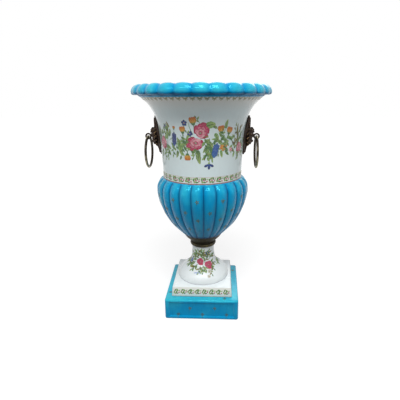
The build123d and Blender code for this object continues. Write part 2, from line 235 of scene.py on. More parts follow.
# Vase body. One porcelain casting, turned and pressed in a mould: a lobed bowl, a plain bell that
# flares late, and a lobed rim rolled over its mouth. Its walls are 5.5 mm thick all through.
mm = 0.001
touch = 0.001
boss_foot, floor_top, bowl_foot, shoulder, rim_foot = 124.0, 136.0, 140.0, 243.8, 380.0
bolt_hole, bowl_foot_radius, bowl_radius, bell_foot, bell_top = 3.5, 36.6, 79.3, 67.2, 104.5
rim_inside, mouth_radius, wall, groove_share = 93.5, 99.0, 5.5, 0.036
bowl_lobes, bowl_turn, rim_lobes, rim_turn = 24, -2.8, 28, 2.8
turn_steps, bell_steps = 336, 40
rim_shift = 0.243  # brings a step of the turning onto each crest of the rim
# Heights that bound the painted shade and painted light on the bowl and under the rim.
belly, collar_shade_top, under_rim_shade_top = 215, 147, 384.5
bowl_shares = [(0.0, 0.0), (0.096, 0.225), (0.21, 0.47), (0.35, 0.69), (0.50, 0.855), (0.655, 0.965),
               (0.79, 1.0), (0.877, 0.98), (0.935, 0.915), (0.973, 0.835)]
boss_line = [(bolt_hole, boss_foot), (18.9, boss_foot), (20.9, 126.0), (26.0, 130.1), (29.8, 134.5),
             (32.4, bowl_foot)]


def smooth_line(points, steps):
    """Points on a smooth curve through the given ones, with so many steps on each stretch."""
    knots = [Vector(point) for point in points]
    spans = [(b - a).length for a, b in zip(knots, knots[1:])]
    slopes = [(knots[1] - knots[0]) / spans[0]]
    for before, knot, after, near, far in zip(knots, knots[1:], knots[2:], spans, spans[1:]):
        slopes.append(((knot - before) / near * far + (after - knot) / far * near) / (near + far))
    slopes.append((knots[-1] - knots[-2]) / spans[-1])
    line = [knots[0]]
    for a, b, start, stop, span in zip(knots, knots[1:], slopes, slopes[1:], spans):
        line += interpolate_bezier(a, a + start * span / 3, b - stop * span / 3, b, steps + 1)[1:]
    return [tuple(point) for point in line]


def read_shares(shares, up):
    """The value of a table of (height share, value) at a height share."""
    for (low, start), (high, stop) in zip(shares, shares[1:]):
        if up <= high:
            return start + (stop - start) * (up - low) / (high - low)
    return shares[-1][1]


def bell_radius(height):
    """Outer radius of the bell at a height above the floor."""
    up = (height - shoulder) / (rim_foot - shoulder)
    return bell_foot + (bell_top - bell_foot) * (0.19 * up + 0.81 * up**6.4)


def lobe_share(azimuth, lobes, turn):
    """How far an azimuth in degrees is from its lobe's crest: 0 on the crest, 1 in the valley."""
    step = 360 / lobes
    return abs((azimuth - turn + step / 2) % step - step / 2) / (step / 2)


def held(value):
    """A value kept between nought and one."""
    return min(1.0, max(0.0, value))


def spin_line(made, points, steps, centre=(0, 0, 0), axis=(0, 0, 1), closed=True):
    """Spins a line of points once round an axis."""
    corners = [made.verts.new(point) for point in points]
    after = corners[1:] + (corners[:1] if closed else [])
    sides = [made.edges.new(pair) for pair in zip(corners, after)]
    bmesh.ops.spin(made, geom=corners + sides, cent=centre, axis=axis, angle=tau, steps=steps,
                   use_merge=True)


def close_skin(made):
    """Merges what meets and turns every face outwards."""
    bmesh.ops.remove_doubles(made, verts=made.verts, dist=touch)
    bmesh.ops.recalc_face_normals(made, faces=made.faces)


def turn_line(line, steps, start=0.0):
    """A bmesh of a closed line of (radius, height), turned once round the upright axis."""
    made = bmesh.new()
    spin_line(made, [(radius * cos(start), radius * sin(start), height) for radius, height in line], steps)
    close_skin(made)
    return made


def place_piece(made, name, body, finishes, sharp=35):
    """A finished piece from a bmesh in millimetres, smooth but for its sharp edges, on its body."""
    bmesh.ops.scale(made, vec=(mm, mm, mm), verts=made.verts)
    for face in made.faces:
        face.smooth = True
    piece = bpy.data.objects.new(name, bpy.data.meshes.new(name))
    made.to_mesh(piece.data)
    made.free()
    for finish in finishes:
        piece.data.materials.append(finish)
    piece.data.set_sharp_from_angle(angle=radians(sharp))
    scene.collection.objects.link(piece)
    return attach(piece, body)


bowl_points = [(bowl_foot_radius + across * (bowl_radius - bowl_foot_radius),
                bowl_foot + up * (shoulder - bowl_foot)) for up, across in bowl_shares]
bowl_line = smooth_line(bowl_points + [(bell_foot + 0.4, shoulder)], 5)
bell_heights = [shoulder + (rim_foot - shoulder) * step / bell_steps for step in range(bell_steps + 1)]
bell_line = [(bell_radius(height), height) for height in bell_heights]
rim_line = smooth_line([(104.6, rim_foot), (110.9, 380.2), (113.5, 381.3), (114.42, 383.8), (114.03, 387.6),
                        (112.0, 391.4), (108.6, 394.6), (104.2, 396.0), (101.5, 395.3), (99.9, 393.2),
                        (99.2, 390.6), (mouth_radius, 388.0)], 4)
bell_inside = [(radius - wall, height) for radius, height in bell_line[:-1]]
bowl_inside = [(radius * (1 - groove_share) - wall, height) for radius, height in bowl_points[1:]]
inside_line = smooth_line([(16.0, floor_top)] + bowl_inside + [(bell_foot - wall, shoulder)], 2)
body_line = (boss_line + bowl_line + bell_line + rim_line + bell_inside[::-1] + inside_line[:-1][::-1]
             + [(bolt_hole, floor_top)])
bowl_profile = [(height, radius) for radius, height in bowl_line]
body_bm = turn_line(body_line, turn_steps, radians(bowl_turn + 180 / bowl_lobes))
# This layer holds pooled glaze in the valleys, and painted shade and painted light as well.
pool_and_painted_light_layer = body_bm.verts.layers.float.new("pool_and_painted_light")
parts = {}
for vert in body_bm.verts:
    radius, height = vert.co.xy.length, vert.co.z
    azimuth = degrees(atan2(vert.co.y, vert.co.x))
    skin_radius = bell_radius(height) if height > shoulder else read_shares(bowl_profile, height)
    parts[vert] = "plain"
    if height > rim_foot - 0.01:
        parts[vert] = "rim"
        azimuth += rim_shift
        share = lobe_share(azimuth, rim_lobes, rim_turn)
        size = 1 - 0.1 * share**2
        radius = max(mouth_radius, rim_inside + (radius - rim_inside) * size)
        height = rim_foot + (height - rim_foot) * size
        # Painted shade darkens the rim's underside; its crests are lighter, partly as glaze breaking thin
        # over the lobes and partly as painted light on the rim's top.
        under_rim_painted_shade = 1.6 * max(0.0, (under_rim_shade_top - height) / 4.5)
        vert[pool_and_painted_light_layer] = 0.12 * share**5 - 0.75 * (1 - share**2) + under_rim_painted_shade
    elif bowl_foot - 0.1 < height < shoulder - 0.01 and radius > skin_radius - 2.0:
        parts[vert] = "bowl"
        share = lobe_share(azimuth, bowl_lobes, bowl_turn)
        fade = min(1.0, (shoulder - height) / 2.8)
        radius *= 1 - groove_share * share**2 * fade
        valley = (0.8 * share**6 + 0.12 * share**2) * fade
        # Painted shade darkens the bowl towards its foot, most in a band just above the collar.
        low_painted_shade_and_wear = 0.35 * max(0.0, (belly - height) / 75) + 0.9 * max(0.0, (collar_shade_top - height) / 7)
        # Painted light lightens the bowl's upper crests more towards the shoulder.
        high_crest_painted_light = 0.5 * max(0.0, (height - belly) / 28) * (1 - share)
        vert[pool_and_painted_light_layer] = valley + low_painted_shade_and_wear - high_crest_painted_light
    vert.co = (radius * cos(radians(azimuth)), radius * sin(radians(azimuth)), height)
for face in body_bm.faces:
    touched = {parts[vert] for vert in face.verts}
    low = min(vert.co.z for vert in face.verts)
    face.material_index = int("rim" in touched or ("bowl" in touched and low < shoulder - 0.05))

# The bell's white glaze has a cream band at its foot between two lines of red-brown enamel,
# and under the rim it darkens to a warm pale brown, which is painted shade.
line_edge = 0.0003
white, cream, under_rim_shade = (0.69, 0.80, 0.81, 1), (0.82, 0.74, 0.58, 1), (0.62, 0.47, 0.36, 1)
cream_share, under_rim_shade_share = 0.4, 0.55
bell_lines = (  # foot and top in metres, strength, enamel
    (0.2437, 0.2452, 0.9, (0.26, 0.045, 0.022, 1)),
    (0.2552, 0.2559, 0.45, (0.50, 0.22, 0.12, 1)),
    (0.3774, 0.3784, 0.65, (0.48, 0.16, 0.12, 1)),
)


def drawn_height(tree, waves, drift):
    """The height of a place, and the same with the drift of a line that is drawn by hand."""
    place = on_piece(tree)
    height = add_node(tree, "SeparateXYZ", {0: place}).outputs["Z"]
    wobble = reckon(tree, "MULTIPLY_ADD", noise_at(tree, place, waves), drift, -drift / 2)
    return height, reckon(tree, "ADD", height, wobble)


def draw_lines(tree, colour, at, lines):
    """A colour with enamel lines drawn over it."""
    for low, high, strength, enamel in lines:
        rise = ramp(tree, at, low - line_edge, low, 0.0, strength)
        fall = ramp(tree, at, high + line_edge, high)
        colour = mix_colour(tree, reckon(tree, "MULTIPLY", rise, fall), colour, enamel)
    return colour


white_glaze, tree, shader = new_finish("white_glaze", {"Specular IOR Level": 0.35})
height, at = drawn_height(tree, waves=170, drift=0.0009)
colour = mix_colour(tree, ramp(tree, at, 0.2565, 0.2535, 0.0, cream_share), white, cream)
# Painted shade: the white turns to a warm pale brown under the rim.
colour = mix_colour(tree, ramp(tree, height, 0.352, 0.381, 0.0, under_rim_shade_share), colour, under_rim_shade)
colour = draw_lines(tree, colour, at, bell_lines)
use_group(tree, shader, glaze, {
    "Colour": colour, "Pool Colour": (0.60, 0.63, 0.62, 1), "Break Colour": colour, "Pool": 0.0,
})
vase_body = place_piece(body_bm, "porcelain_body", "vase", [white_glaze, turquoise])
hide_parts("vase_body")

# Foot. One white casting under the collar: a waisted stem that spreads into a round base on a
# square slab. A thin purple line runs round the base, and a brown one round the slab's foot.
plinth_height = 37.3
neck_radius, spread, base_foot, foot_rise, foot_roof = 19.4, 26.6, 55.3, 63.9, 113.2
foot_top = base_foot + foot_rise
foot_wall, least_inside, slab_reach, slab_corner, corner_share, foot_steps = 6.5, 11.0, 48.0, 1.5, 0.15, 160
slab_low, slab_high = (52.6, 38.1), (51.15, 53.9)
foot_shares = [(0.0, 0.985), (0.06, 1.0), (0.14, 0.95), (0.23, 0.79), (0.32, 0.535), (0.395, 0.305),
               (0.465, 0.165), (0.55, 0.085), (0.67, 0.045), (0.86, 0.015), (1.0, 0.0)]
foot_lines = (
    (0.0370, 0.0386, 0.75, (0.22, 0.12, 0.07, 1)),
    (0.0560, 0.0570, 0.60, (0.24, 0.16, 0.24, 1)),
)
stem_points = [(neck_radius + across * spread, base_foot + up * foot_rise) for up, across in foot_shares]
stem_line = smooth_line(stem_points, 4)
stem_inside = [(max(radius - foot_wall, least_inside), height) for radius, height in stem_line[::3]
               if height < foot_roof - 0.2]
slab_line = [(51.9, plinth_height), (52.45, 37.55), slab_low, slab_high, (50.95, 54.6), (50.5, 55.1),
             (49.8, base_foot)]
hole_line = [(bolt_hole, foot_top), (bolt_hole, foot_roof), (stem_inside[-1][0], foot_roof)]
foot_line = slab_line + stem_line + hole_line + stem_inside[::-1] + [(stem_inside[0][0], plinth_height)]


def on_square(azimuth, half, corner):
    """The point of a rounded square's edge that goes with an azimuth, with steps left for its corners."""
    quarter = round(azimuth / 90) * 90
    along = (azimuth - quarter) / 45
    straight = half - corner
    reach = 1 - corner_share
    spot = Vector((half, along / reach * straight))
    if abs(along) >= reach:
        bend = (abs(along) - reach) / corner_share * pi / 4
        side = 1 if along > 0 else -1
        spot = Vector((straight + corner * cos(bend), side * (straight + corner * sin(bend))))
    spot.rotate(Matrix.Rotation(radians(quarter), 2))
    return spot


foot_bm = turn_line(foot_line, foot_steps)
for vert in foot_bm.verts:
    if vert.co.xy.length > slab_reach:
        vert.co.xy = on_square(degrees(atan2(vert.co.y, vert.co.x)), vert.co.xy.length, slab_corner)
bmesh.ops.recalc_face_normals(foot_bm, faces=foot_bm.faces)
foot_glaze, tree, shader = new_finish("foot_white_glaze", {"Specular IOR Level": 0.35})
height, at = drawn_height(tree, waves=190, drift=0.0008)
colour = mix_colour(tree, ramp(tree, at, 0.0552, 0.0538), (0.80, 0.86, 0.87, 1), (0.84, 0.83, 0.75, 1))
colour = draw_lines(tree, colour, at, foot_lines)
use_group(tree, shader, glaze, {
    "Colour": colour, "Pool Colour": (0.72, 0.76, 0.76, 1), "Break Colour": colour, "Pool": 0.22,
})
foot = place_piece(foot_bm, "porcelain_foot", "vase", [foot_glaze])
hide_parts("foot")

# Plinth. A square turquoise block, cast hollow and open below, with soft edges and a sunk panel
# with sloping sides on each face. The slab of the foot stands in the middle of its top.
half, deck = 63.85, 29.3
upright_edge, top_edge, bottom_edge, crease_edge = 4.0, 3.0, 2.5, 0.25
side_margin, top_margin, panel_foot, ledge, plinth_wall = 6.5, 4.3, 4.2, 2.1, 3.5
inset_start, panel_low, panel_high, painted_light_above = 1.6, 4, 33.2, 34.5


def soften(made, edges, radius, segments):
    """Rounds edges off."""
    bmesh.ops.bevel(made, geom=edges, offset=radius, offset_type="OFFSET", affect="EDGES", segments=segments,
                    profile=0.5, material=-1)


def sink(made, faces, thickness, depth=0.0):
    """Insets faces, each on its own, and moves them in by a depth."""
    bmesh.ops.inset_individual(made, faces=faces, thickness=thickness, depth=-depth, use_even_offset=True)


plinth_bm = bmesh.new()
bmesh.ops.create_cube(plinth_bm, size=1.0)
bmesh.ops.scale(plinth_bm, vec=(2 * half, 2 * half, plinth_height), verts=plinth_bm.verts)
bmesh.ops.translate(plinth_bm, vec=(0, 0, plinth_height / 2), verts=plinth_bm.verts)
for pick, radius in (
    (lambda low, high: high - low > 1, upright_edge),
    (lambda low, high: low > plinth_height - 0.01, top_edge),
    (lambda low, high: high < 0.01, bottom_edge),
):
    picked = [edge for edge in plinth_bm.edges if pick(*sorted(vert.co.z for vert in edge.verts))]
    soften(plinth_bm, picked, radius, 6)
panels = sorted(plinth_bm.faces, key=lambda face: -face.calc_area())
panels = [face for face in panels if abs(face.normal.z) < 0.1 and face.calc_area() > 1000]
sink(plinth_bm, panels, inset_start)
for face in panels:
    across = 0 if abs(face.normal.y) > 0.5 else 1
    for vert in face.verts:
        vert.co.z = panel_foot if vert.co.z < plinth_height / 2 else plinth_height - top_margin
        vert.co[across] = half - side_margin if vert.co[across] > 0 else side_margin - half
creases = [edge for face in panels for edge in face.edges]
sink(plinth_bm, panels, ledge, ledge)
creases += [edge for face in panels for edge in face.edges]
soften(plinth_bm, creases, crease_edge, 4)
under = min(plinth_bm.faces, key=lambda face: face.calc_center_median().z - face.calc_area() * 0.001)
sink(plinth_bm, [under], plinth_wall)
lifted = bmesh.ops.extrude_discrete_faces(plinth_bm, faces=[under])["faces"][0]
bmesh.ops.translate(plinth_bm, vec=(0, 0, deck), verts=lifted.verts)
close_skin(plinth_bm)
pool_and_painted_light_layer = plinth_bm.verts.layers.float.new("pool_and_painted_light")
# Painted shade darkens the sunk panels a little, and painted light makes the top of the plinth lighter.
for vert in plinth_bm.verts:
    sunk = held((half - max(abs(vert.co.x), abs(vert.co.y))) / 1.8)
    vert[pool_and_painted_light_layer] = 0.10 * sunk * (panel_low < vert.co.z < panel_high) - 0.7 * (vert.co.z > painted_light_above)
plinth = place_piece(plinth_bm, "porcelain_plinth", "vase", [turquoise], sharp=50)
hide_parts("plinth")

# Painted flowers. Overglaze enamels laid on with a brush and fired a third time, so each petal and
# leaf stands a little proud of the white glaze: a garland on the bell, front and back.
front = -90.0
stroke_depth, stroke_rise, bristle_waves, bristle_depth = 0.13, 0.04, 1900, 0.00008
broad_leaf = 7.0
low_rose, low_rose_share = 308.0, 0.74
wine, crimson, pink = (0.16, 0.004, 0.022), (0.35, 0.012, 0.052), (0.60, 0.078, 0.170)
blush, shell = (0.70, 0.25, 0.33), (0.77, 0.48, 0.50)
orange, rust, yellow = (0.62, 0.13, 0.012), (0.36, 0.055, 0.006), (0.72, 0.44, 0.06)
navy, blue, sky_blue = (0.012, 0.020, 0.095), (0.035, 0.085, 0.34), (0.26, 0.38, 0.70)
moss, green, lime = (0.040, 0.110, 0.040), (0.14, 0.31, 0.085), (0.40, 0.53, 0.17)
olive, straw, umber = (0.13, 0.115, 0.022), (0.33, 0.30, 0.085), (0.085, 0.060, 0.022)
# Each stroke is loaded with three tones: one for its base, one for its tip and one for its edges.
shade_leaf, light_leaf, bright_leaf = (moss, green, moss), (green, lime, green), (moss, lime, moss)
young_leaf, spring_leaf, vein = (moss, lime, green), (green, lime, moss), (moss, umber, moss)
dry_leaf, dark_blue, berry = (olive, straw, umber), (blue, navy, navy), (pink, crimson, crimson)
orange_bud = (yellow, (0.50, 0.10, 0.010), rust)
leaf_greens = (young_leaf, spring_leaf, shade_leaf)
olives = (dry_leaf, (moss, lime, olive), (umber, olive, umber))
rose_rings = (  # petals, then reach, length and width as shares of the rose's size, tones, lift
    (9, 0.36, 0.34, 0.40, (pink, crimson, wine), 0.0), (8, 0.28, 0.30, 0.30, (crimson, pink, wine), 0.10),
    (8, 0.20, 0.27, 0.25, (wine, blush, crimson), 0.18), (6, 0.13, 0.22, 0.20, (crimson, shell, pink), 0.26),
    (5, 0.07, 0.15, 0.13, (wine, pink, crimson), 0.32),
)
blanks = {}
for fine, segments, rings in ((False, 8, 5), (True, 12, 9)):
    blanks[fine] = bmesh.new()
    bmesh.ops.create_uvsphere(blanks[fine], u_segments=segments, v_segments=rings, radius=1.0)
    blanks[fine].verts.index_update()


def add_daub(made, skin, spot, size, lean, tones, bend=0.0, taper=0.35, lift=0.0, fine=False, shift=0.0):
    """One brush stroke at (azimuth, height), (long, wide) in millimetres, in its three tones."""
    layer = made.verts.layers.float_color["paint"]
    long, wide = size[0] / 2, size[1] / 2
    verts = [made.verts.new(vert.co) for vert in blanks[fine].verts]
    for face in blanks[fine].faces:
        made.faces.new([verts[vert.index] for vert in face.verts])
    base, tip, rim = (Vector(tone) for tone in tones)
    turn = radians(lean)
    for vert in verts:
        across, depth, along = vert.co
        edge = min(1.0, abs(across) / max(0.05, sqrt(max(0.0, 1 - along * along))))
        ruffle = 1 + (0.07 * sin(along * 8) if fine else 0.0)
        x = across * wide * (1 + taper * along * 0.9) * ruffle + bend * along * along * wide
        y = along * long
        side, rise = x * cos(turn) + y * sin(turn), y * cos(turn) - x * sin(turn)
        vert.co = skin(spot[0], spot[1] + rise, shift + side, lift + stroke_depth * depth + stroke_rise)
        vert[layer] = (*base.lerp(tip, (along + 1) / 2).lerp(rim, 0.75 * edge**3), 1.0)


def turned_place(turn, radius, height, slope, lift):
    """A place on a turned skin, lifted off it square to its slope."""
    out = Vector((cos(turn), sin(turn), -slope)).normalized()
    return Vector((radius * cos(turn), radius * sin(turn), height)) + out * lift


def bell_skin(azimuth, height, side, lift):
    """A place on the bell, so far to the side of an azimuth seen from outside, and lifted off it."""
    radius = bell_radius(height)
    slope = bell_radius(height + 0.5) - bell_radius(height - 0.5)
    return turned_place(radians(front + azimuth) + side / radius, radius, height, slope, lift)


def low_rose_skin(azimuth, height, side, lift):
    """The bell's skin drawn together about the lower rose, which is wider than it is high."""
    return bell_skin(azimuth, low_rose + low_rose_share * (height - low_rose), side, lift)


def radius_at(skin, height):
    """The radius that a skin has at a height."""
    return skin(0.0, height, 0.0, 0.0).xy.length


def off_spot(spot, radius, along, lean, across=0.0):
    """The spot that lies so far along a lean from another, and so far to the right of that line."""
    turn = radians(lean)
    side, rise = along * sin(turn) + across * cos(turn), along * cos(turn) - across * sin(turn)
    return spot[0] + degrees(side / radius), spot[1] + rise


def add_leaf(made, skin, spot, size, lean, tones, bend):
    """A leaf with a dark vein painted over it."""
    add_daub(made, skin, spot, size, lean, tones, bend, -0.30, 0.0, True)
    add_daub(made, skin, spot, (size[0] * 0.86, max(0.5, size[1] * 0.13)), lean, vein, bend * 6, -0.5, 0.10)


def add_rose(made, skin, spot, size, lean, heart, deep=False):
    """A full rose: crimson petals outside, paler ones inside, palest on the side its heart turns to.

    A deep one is crimson all through.
    """
    radius = radius_at(skin, spot[1])
    turned = degrees(atan2(heart[0], heart[1]))
    for order, (count, reach, long, wide, tones, lift) in enumerate(rose_rings):
        drift = size * order / (len(rose_rings) - 1)
        middle = off_spot(spot, radius, heart[1] * drift, 0, heart[0] * drift)
        if deep:
            tones = (wine, pink, crimson) if order % 2 else (crimson, pink, wine)
        for petal in range(count):
            turn = lean + 360 / count * (petal + 0.5 * (order % 2)) + 11 * sin(petal * 2.4 + order)
            away = reach * size * (1 + 0.12 * cos(petal * 1.9))
            laid = tones
            if not deep and cos(radians(turn - turned)) > 0.35 and 0 < order < 4:
                laid = (pink, shell, blush) if petal % 2 else (crimson, blush, pink)
            add_daub(made, skin, off_spot(middle, radius, away, turn), (long * size, wide * size), turn, laid,
                     0.25 * sin(petal + order), 0.5, lift, True)
    stamens = ((0.16, 0.20, 0.14), (0.42, 0.46, 0.36), green)
    add_daub(made, skin, middle, (0.13 * size, 0.17 * size), 30, stamens, 0, 0, 0.38)


def add_spray(made, skin, spot, long, lean, leaf, count, bend, tones=leaf_greens):
    """A stem that bends as it grows from a spot, with leaves to either side of it and one at its tip."""
    stretch = long / count
    turn = lean
    for step in range(count):
        turn += bend
        radius = radius_at(skin, spot[1])
        half_way = off_spot(spot, radius, 0.5 * stretch, turn)
        add_daub(made, skin, half_way, (1.5 * stretch, 0.8), turn, shade_leaf, 0, 0)
        spot = off_spot(spot, radius, stretch, turn)
        size = leaf * (1.08 - 0.4 * (step + 1) / count) * (1 + 0.12 * sin(step * 2.3 + lean))
        side = 1 if step % 2 else -1
        splay = turn if step == count - 1 else turn + side * (46 + 10 * sin(step * 1.7))
        near = off_spot(spot, radius, 0.46 * size, splay)
        add_daub(made, skin, near, (size, 0.44 * size), splay, tones[step % len(tones)], 0.3 * side, -0.3,
                 0.04 + 0.02 * (step % 3), size > broad_leaf)
        if size > broad_leaf:
            add_daub(made, skin, near, (0.8 * size, 0.5), splay, vein, 2.0 * side, -0.5, 0.16)


def add_bud(made, skin, spot, size, lean):
    """A closed flower: three petals in a green cup on a short stalk."""
    radius = radius_at(skin, spot[1])
    for turn, across, lift in ((-9, -0.19, 0.0), (9, 0.19, 0.04), (0, 0.0, 0.10)):
        petal = off_spot(spot, radius, 0.12 * size, lean, across * size)
        add_daub(made, skin, petal, (0.74 * size, 0.44 * size), lean + turn, orange_bud, 0, 0.1, lift, True)
    for turn, across in ((-30, -0.14), (30, 0.14), (0, 0.0)):
        cup = off_spot(spot, radius, -0.26 * size, lean, across * size)
        add_daub(made, skin, cup, (0.40 * size, 0.16 * size), lean + turn, shade_leaf, 0, -0.4, 0.14)
    stalk = off_spot(spot, radius, -0.58 * size, lean)
    add_daub(made, skin, stalk, (0.40 * size, 0.09 * size), lean, shade_leaf, 0.6, 0, 0.02)


def add_bloom(made, skin, spot, size, petals, lean, tones, heart=yellow):
    """An open flower of single petals round a small heart."""
    radius = radius_at(skin, spot[1])
    for petal in range(petals):
        turn = lean + 360 / petals * petal
        away = off_spot(spot, radius, 0.25 * size, turn)
        add_daub(made, skin, away, (0.5 * size, 0.36 * size), turn, tones, 0, 0.45, 0.03 * (petal % 2), True)
    add_daub(made, skin, spot, (0.20 * size, 0.20 * size), 0, (heart, heart, umber), 0, 0, 0.12)


def add_bell_flower(made, skin, spot, long, wide, lean, tones, count):
    """A long flower of narrow petals that overlap like tiles."""
    radius = radius_at(skin, spot[1])
    for petal in range(count):
        along = (0.34 - 0.68 * petal / (count - 1)) * long
        for across in (-0.24, 0.24) if petal % 2 else (0.0,):
            away = off_spot(spot, radius, along, lean, across * wide)
            add_daub(made, skin, away, (0.42 * long, 0.46 * wide), lean + 60 * across, tones, 0, -0.4,
                     0.03 + 0.04 * petal, True)


def new_painting():
    """An empty mesh for strokes, with the layer that holds their colours."""
    made = bmesh.new()
    made.verts.layers.float_color.new("paint")
    return made


def place_painting(made, name, finish):
    """A finished painting, fired on the vase."""
    bmesh.ops.recalc_face_normals(made, faces=made.faces)
    piece = place_piece(made, name, "vase", [finish], sharp=60)
    return piece


enamel, tree, shader = new_finish("painted_enamel", {"Specular IOR Level": 0.4})
bristle = noise_at(tree, on_piece(tree, (1.0, 1.0, 0.3)), bristle_waves, 3.0)
thin, thick = ramp(tree, bristle, 0.50, 0.80, 0.0, 0.22), ramp(tree, bristle, 0.48, 0.25, 0.0, 0.35)
laid = mix_colour(tree, thin, layer_of(tree, "paint", "Color"), (0.72, 0.76, 0.72, 1))
feed(tree, shader, {
    "Base Color": mix_colour(tree, thick, laid, (0.03, 0.03, 0.03, 1)),
    "Roughness": ramp(tree, bristle, 0.3, 0.8, 0.18, 0.36),
    "Normal": bump_of(tree, bristle, bristle_depth, 0.5),
})

# Each table of the garland gives azimuth and height first. Leaves go on with length, width and lean,
# stems with a bend too, and sprays and flowers with what their functions take, in that order.
leaves = (
    (13.5, 336.8, 15.5, 10.5, 76), (19.5, 333.0, 8, 4.0, 118), (10.2, 312.4, 9, 6.0, 60),
    (21.6, 318.9, 12, 6.0, 150), (-24.5, 301.0, 22, 8.0, 168), (-26.3, 311.5, 12, 5.0, -25),
    (-39.8, 323.7, 13, 5.0, 20), (33.1, 337.3, 14, 5.5, 8), (41.5, 315.7, 14, 5.0, 100),
    (31.0, 316.0, 13, 5.0, -40), (24.5, 312.0, 12, 4.5, -65), (-1.3, 287.9, 22, 7.5, 172),
    (-6.5, 297.0, 12, 5.0, -150), (-12.0, 303.5, 13, 4.5, -120), (-19.5, 311.0, 12, 4.5, -60),
    (-14.5, 316.5, 9, 4.0, 30), (9.5, 296.0, 16, 6.0, 165), (13.5, 305.0, 14, 5.5, 140),
    (15.0, 288.5, 13, 5.0, 160), (5.5, 286.0, 8, 3.5, -130), (28.5, 292.0, 12, 4.5, 170),
    (36.5, 293.0, 11, 4.5, 140), (35.0, 309.5, 11, 4.0, 70), (-29.5, 291.0, 12, 4.5, -165),
    (-45.0, 322.0, 18, 6.0, 10), (-49.5, 316.0, 14, 5.5, 35), (-52.5, 296.0, 15, 5.0, 175),
    (-47.0, 300.0, 12, 4.5, 150), (-43.5, 330.0, 10, 4.0, -10), (-36.5, 305.0, 9, 3.5, -40),
    (-60.5, 290.0, 12, 4.5, 190), (-57.0, 324.0, 10, 4.0, 15), (48.5, 289.0, 10, 4.0, 195),
    (45.5, 297.0, 9, 3.5, -35), (57.5, 288.0, 17, 5.0, 178), (61.5, 317.0, 12, 4.5, 25),
    (66.5, 288.0, 11, 4.5, 165), (70.0, 301.0, 10, 4.0, 130), (-64.5, 315.0, 11, 4.5, -20),
    (-69.5, 303.0, 10, 4.0, -60),
)
olive_leaves = (
    (52.8, 327.1, 20, 5.0, -6), (55.2, 314.0, 20, 5.0, 4), (56.5, 300.5, 18, 4.5, -3),
    (50.5, 308.0, 13, 4.0, 30), (59.5, 329.0, 12, 4.0, 22), (-41.5, 336.5, 10, 3.5, -25),
    (-62.5, 328.5, 10, 3.5, -12), (8.0, 319.5, 9, 4.0, 95),
)
stems = (
    (16.0, 309.0, 26, 1.1, 125, 2.0), (30.0, 322.5, 22, 1.0, 20, 3.0), (38.0, 320.5, 18, 1.0, -25, -3.0),
    (-10.5, 331.0, 20, 1.0, -20, 3.0), (-20.0, 318.5, 20, 1.0, -15, 3.0), (-27.0, 305.0, 26, 1.0, 20, 3.0),
    (-15.0, 296.0, 18, 1.0, 10, 3.0), (-32.5, 322.0, 14, 0.8, 0, 2.0), (12.3, 284.0, 14, 1.0, 175, 2.0),
    (27.0, 305.0, 24, 1.0, 60, 3.0), (-46.0, 308.0, 34, 1.2, 12, 3.0), (54.0, 306.0, 44, 1.2, 2, 3.0),
    (-37.0, 316.0, 16, 0.9, 60, 2.0), (66.0, 307.0, 18, 1.0, 20, 3.0), (-18.0, 333.0, 12, 0.9, 20, 2.0),
)
sprays = (
    (-15.0, 319.0, 32, 196, 10.0, 6, 1.0), (-20.0, 316.0, 22, 182, 8.5, 4, 2.0),
    (-13.5, 312.0, 21, 172, 7.5, 4, -4.0), (6.5, 319.0, 32, 180, 10.5, 7, -2.0),
    (12.5, 316.0, 24, 186, 9.5, 5, -2.0), (9.0, 313.0, 30, 158, 9.5, 5, 2.0),
    (16.0, 308.5, 36, 72, 10.0, 7, 1.0), (27.0, 314.5, 18, 8, 7.5, 4, 3.0),
    (37.0, 313.0, 17, 198, 7.5, 4, -4.0), (24.0, 306.0, 14, 174, 6.5, 3, 3.0),
    (29.0, 310.0, 16, 145, 7.5, 4, 3.0), (-50.0, 317.0, 15, 22, 9.0, 4, 5.0),
    (-43.0, 326.0, 10, -20, 6.5, 3, -5.0), (-46.0, 308.0, 24, 172, 9.0, 5, 3.0),
    (-54.0, 299.0, 17, 168, 7.5, 4, 4.0), (-38.0, 314.0, 14, 150, 7.0, 3, 4.0),
    (-28.0, 317.0, 18, 186, 7.0, 4, 3.0), (-60.0, 312.0, 18, -18, 8.0, 4, -3.0),
    (-62.0, 300.0, 18, 196, 7.5, 4, -3.0), (57.0, 305.0, 18, 20, 7.5, 4, 3.0),
    (58.0, 299.0, 16, 184, 7.0, 4, 3.0), (68.0, 300.0, 15, 150, 7.5, 4, 4.0),
    (-3.0, 299.0, 13, 200, 7.0, 3, 3.0), (-9.0, 318.0, 11, -52, 7.0, 3, 4.0),
    (71.0, 303.0, 14, 35, 7.0, 3, 4.0), (1.0, 339.0, 10, -20, 6.0, 3, -5.0),
    (-23.0, 321.0, 15, 158, 8.0, 4, 3.0), (-36.5, 306.0, 16, 172, 8.0, 4, 3.0),
    (33.0, 317.0, 17, 192, 8.5, 4, -3.0), (22.5, 322.0, 15, 204, 8.0, 4, 2.0),
    (46.0, 311.0, 15, 182, 7.5, 4, 3.0), (-55.5, 318.0, 14, 28, 8.0, 4, 4.0),
    (64.0, 312.0, 18, 184, 7.5, 5, 2.0), (-43.0, 300.0, 13, 196, 7.0, 3, 3.0),
)
olive_sprays = (
    (48.8, 288.0, 45, -2, 8.0, 8, 0.5), (53.0, 316.0, 18, 28, 7.5, 4, 2.0),
    (-41.0, 322.0, 14, -12, 6.0, 3, -3.0), (10.0, 300.0, 14, 190, 6.5, 3, 3.0),
    (-67.0, 318.0, 13, 14, 6.5, 3, 3.0),
)
roses = ((3.4, 328.2, 22.5, 20, (-0.10, -0.16)), (-56.2, 306.6, 19.0, 10, (0.05, 0.05)),
         (60.5, 298.6, 17.0, 60, (-0.05, 0.05)))
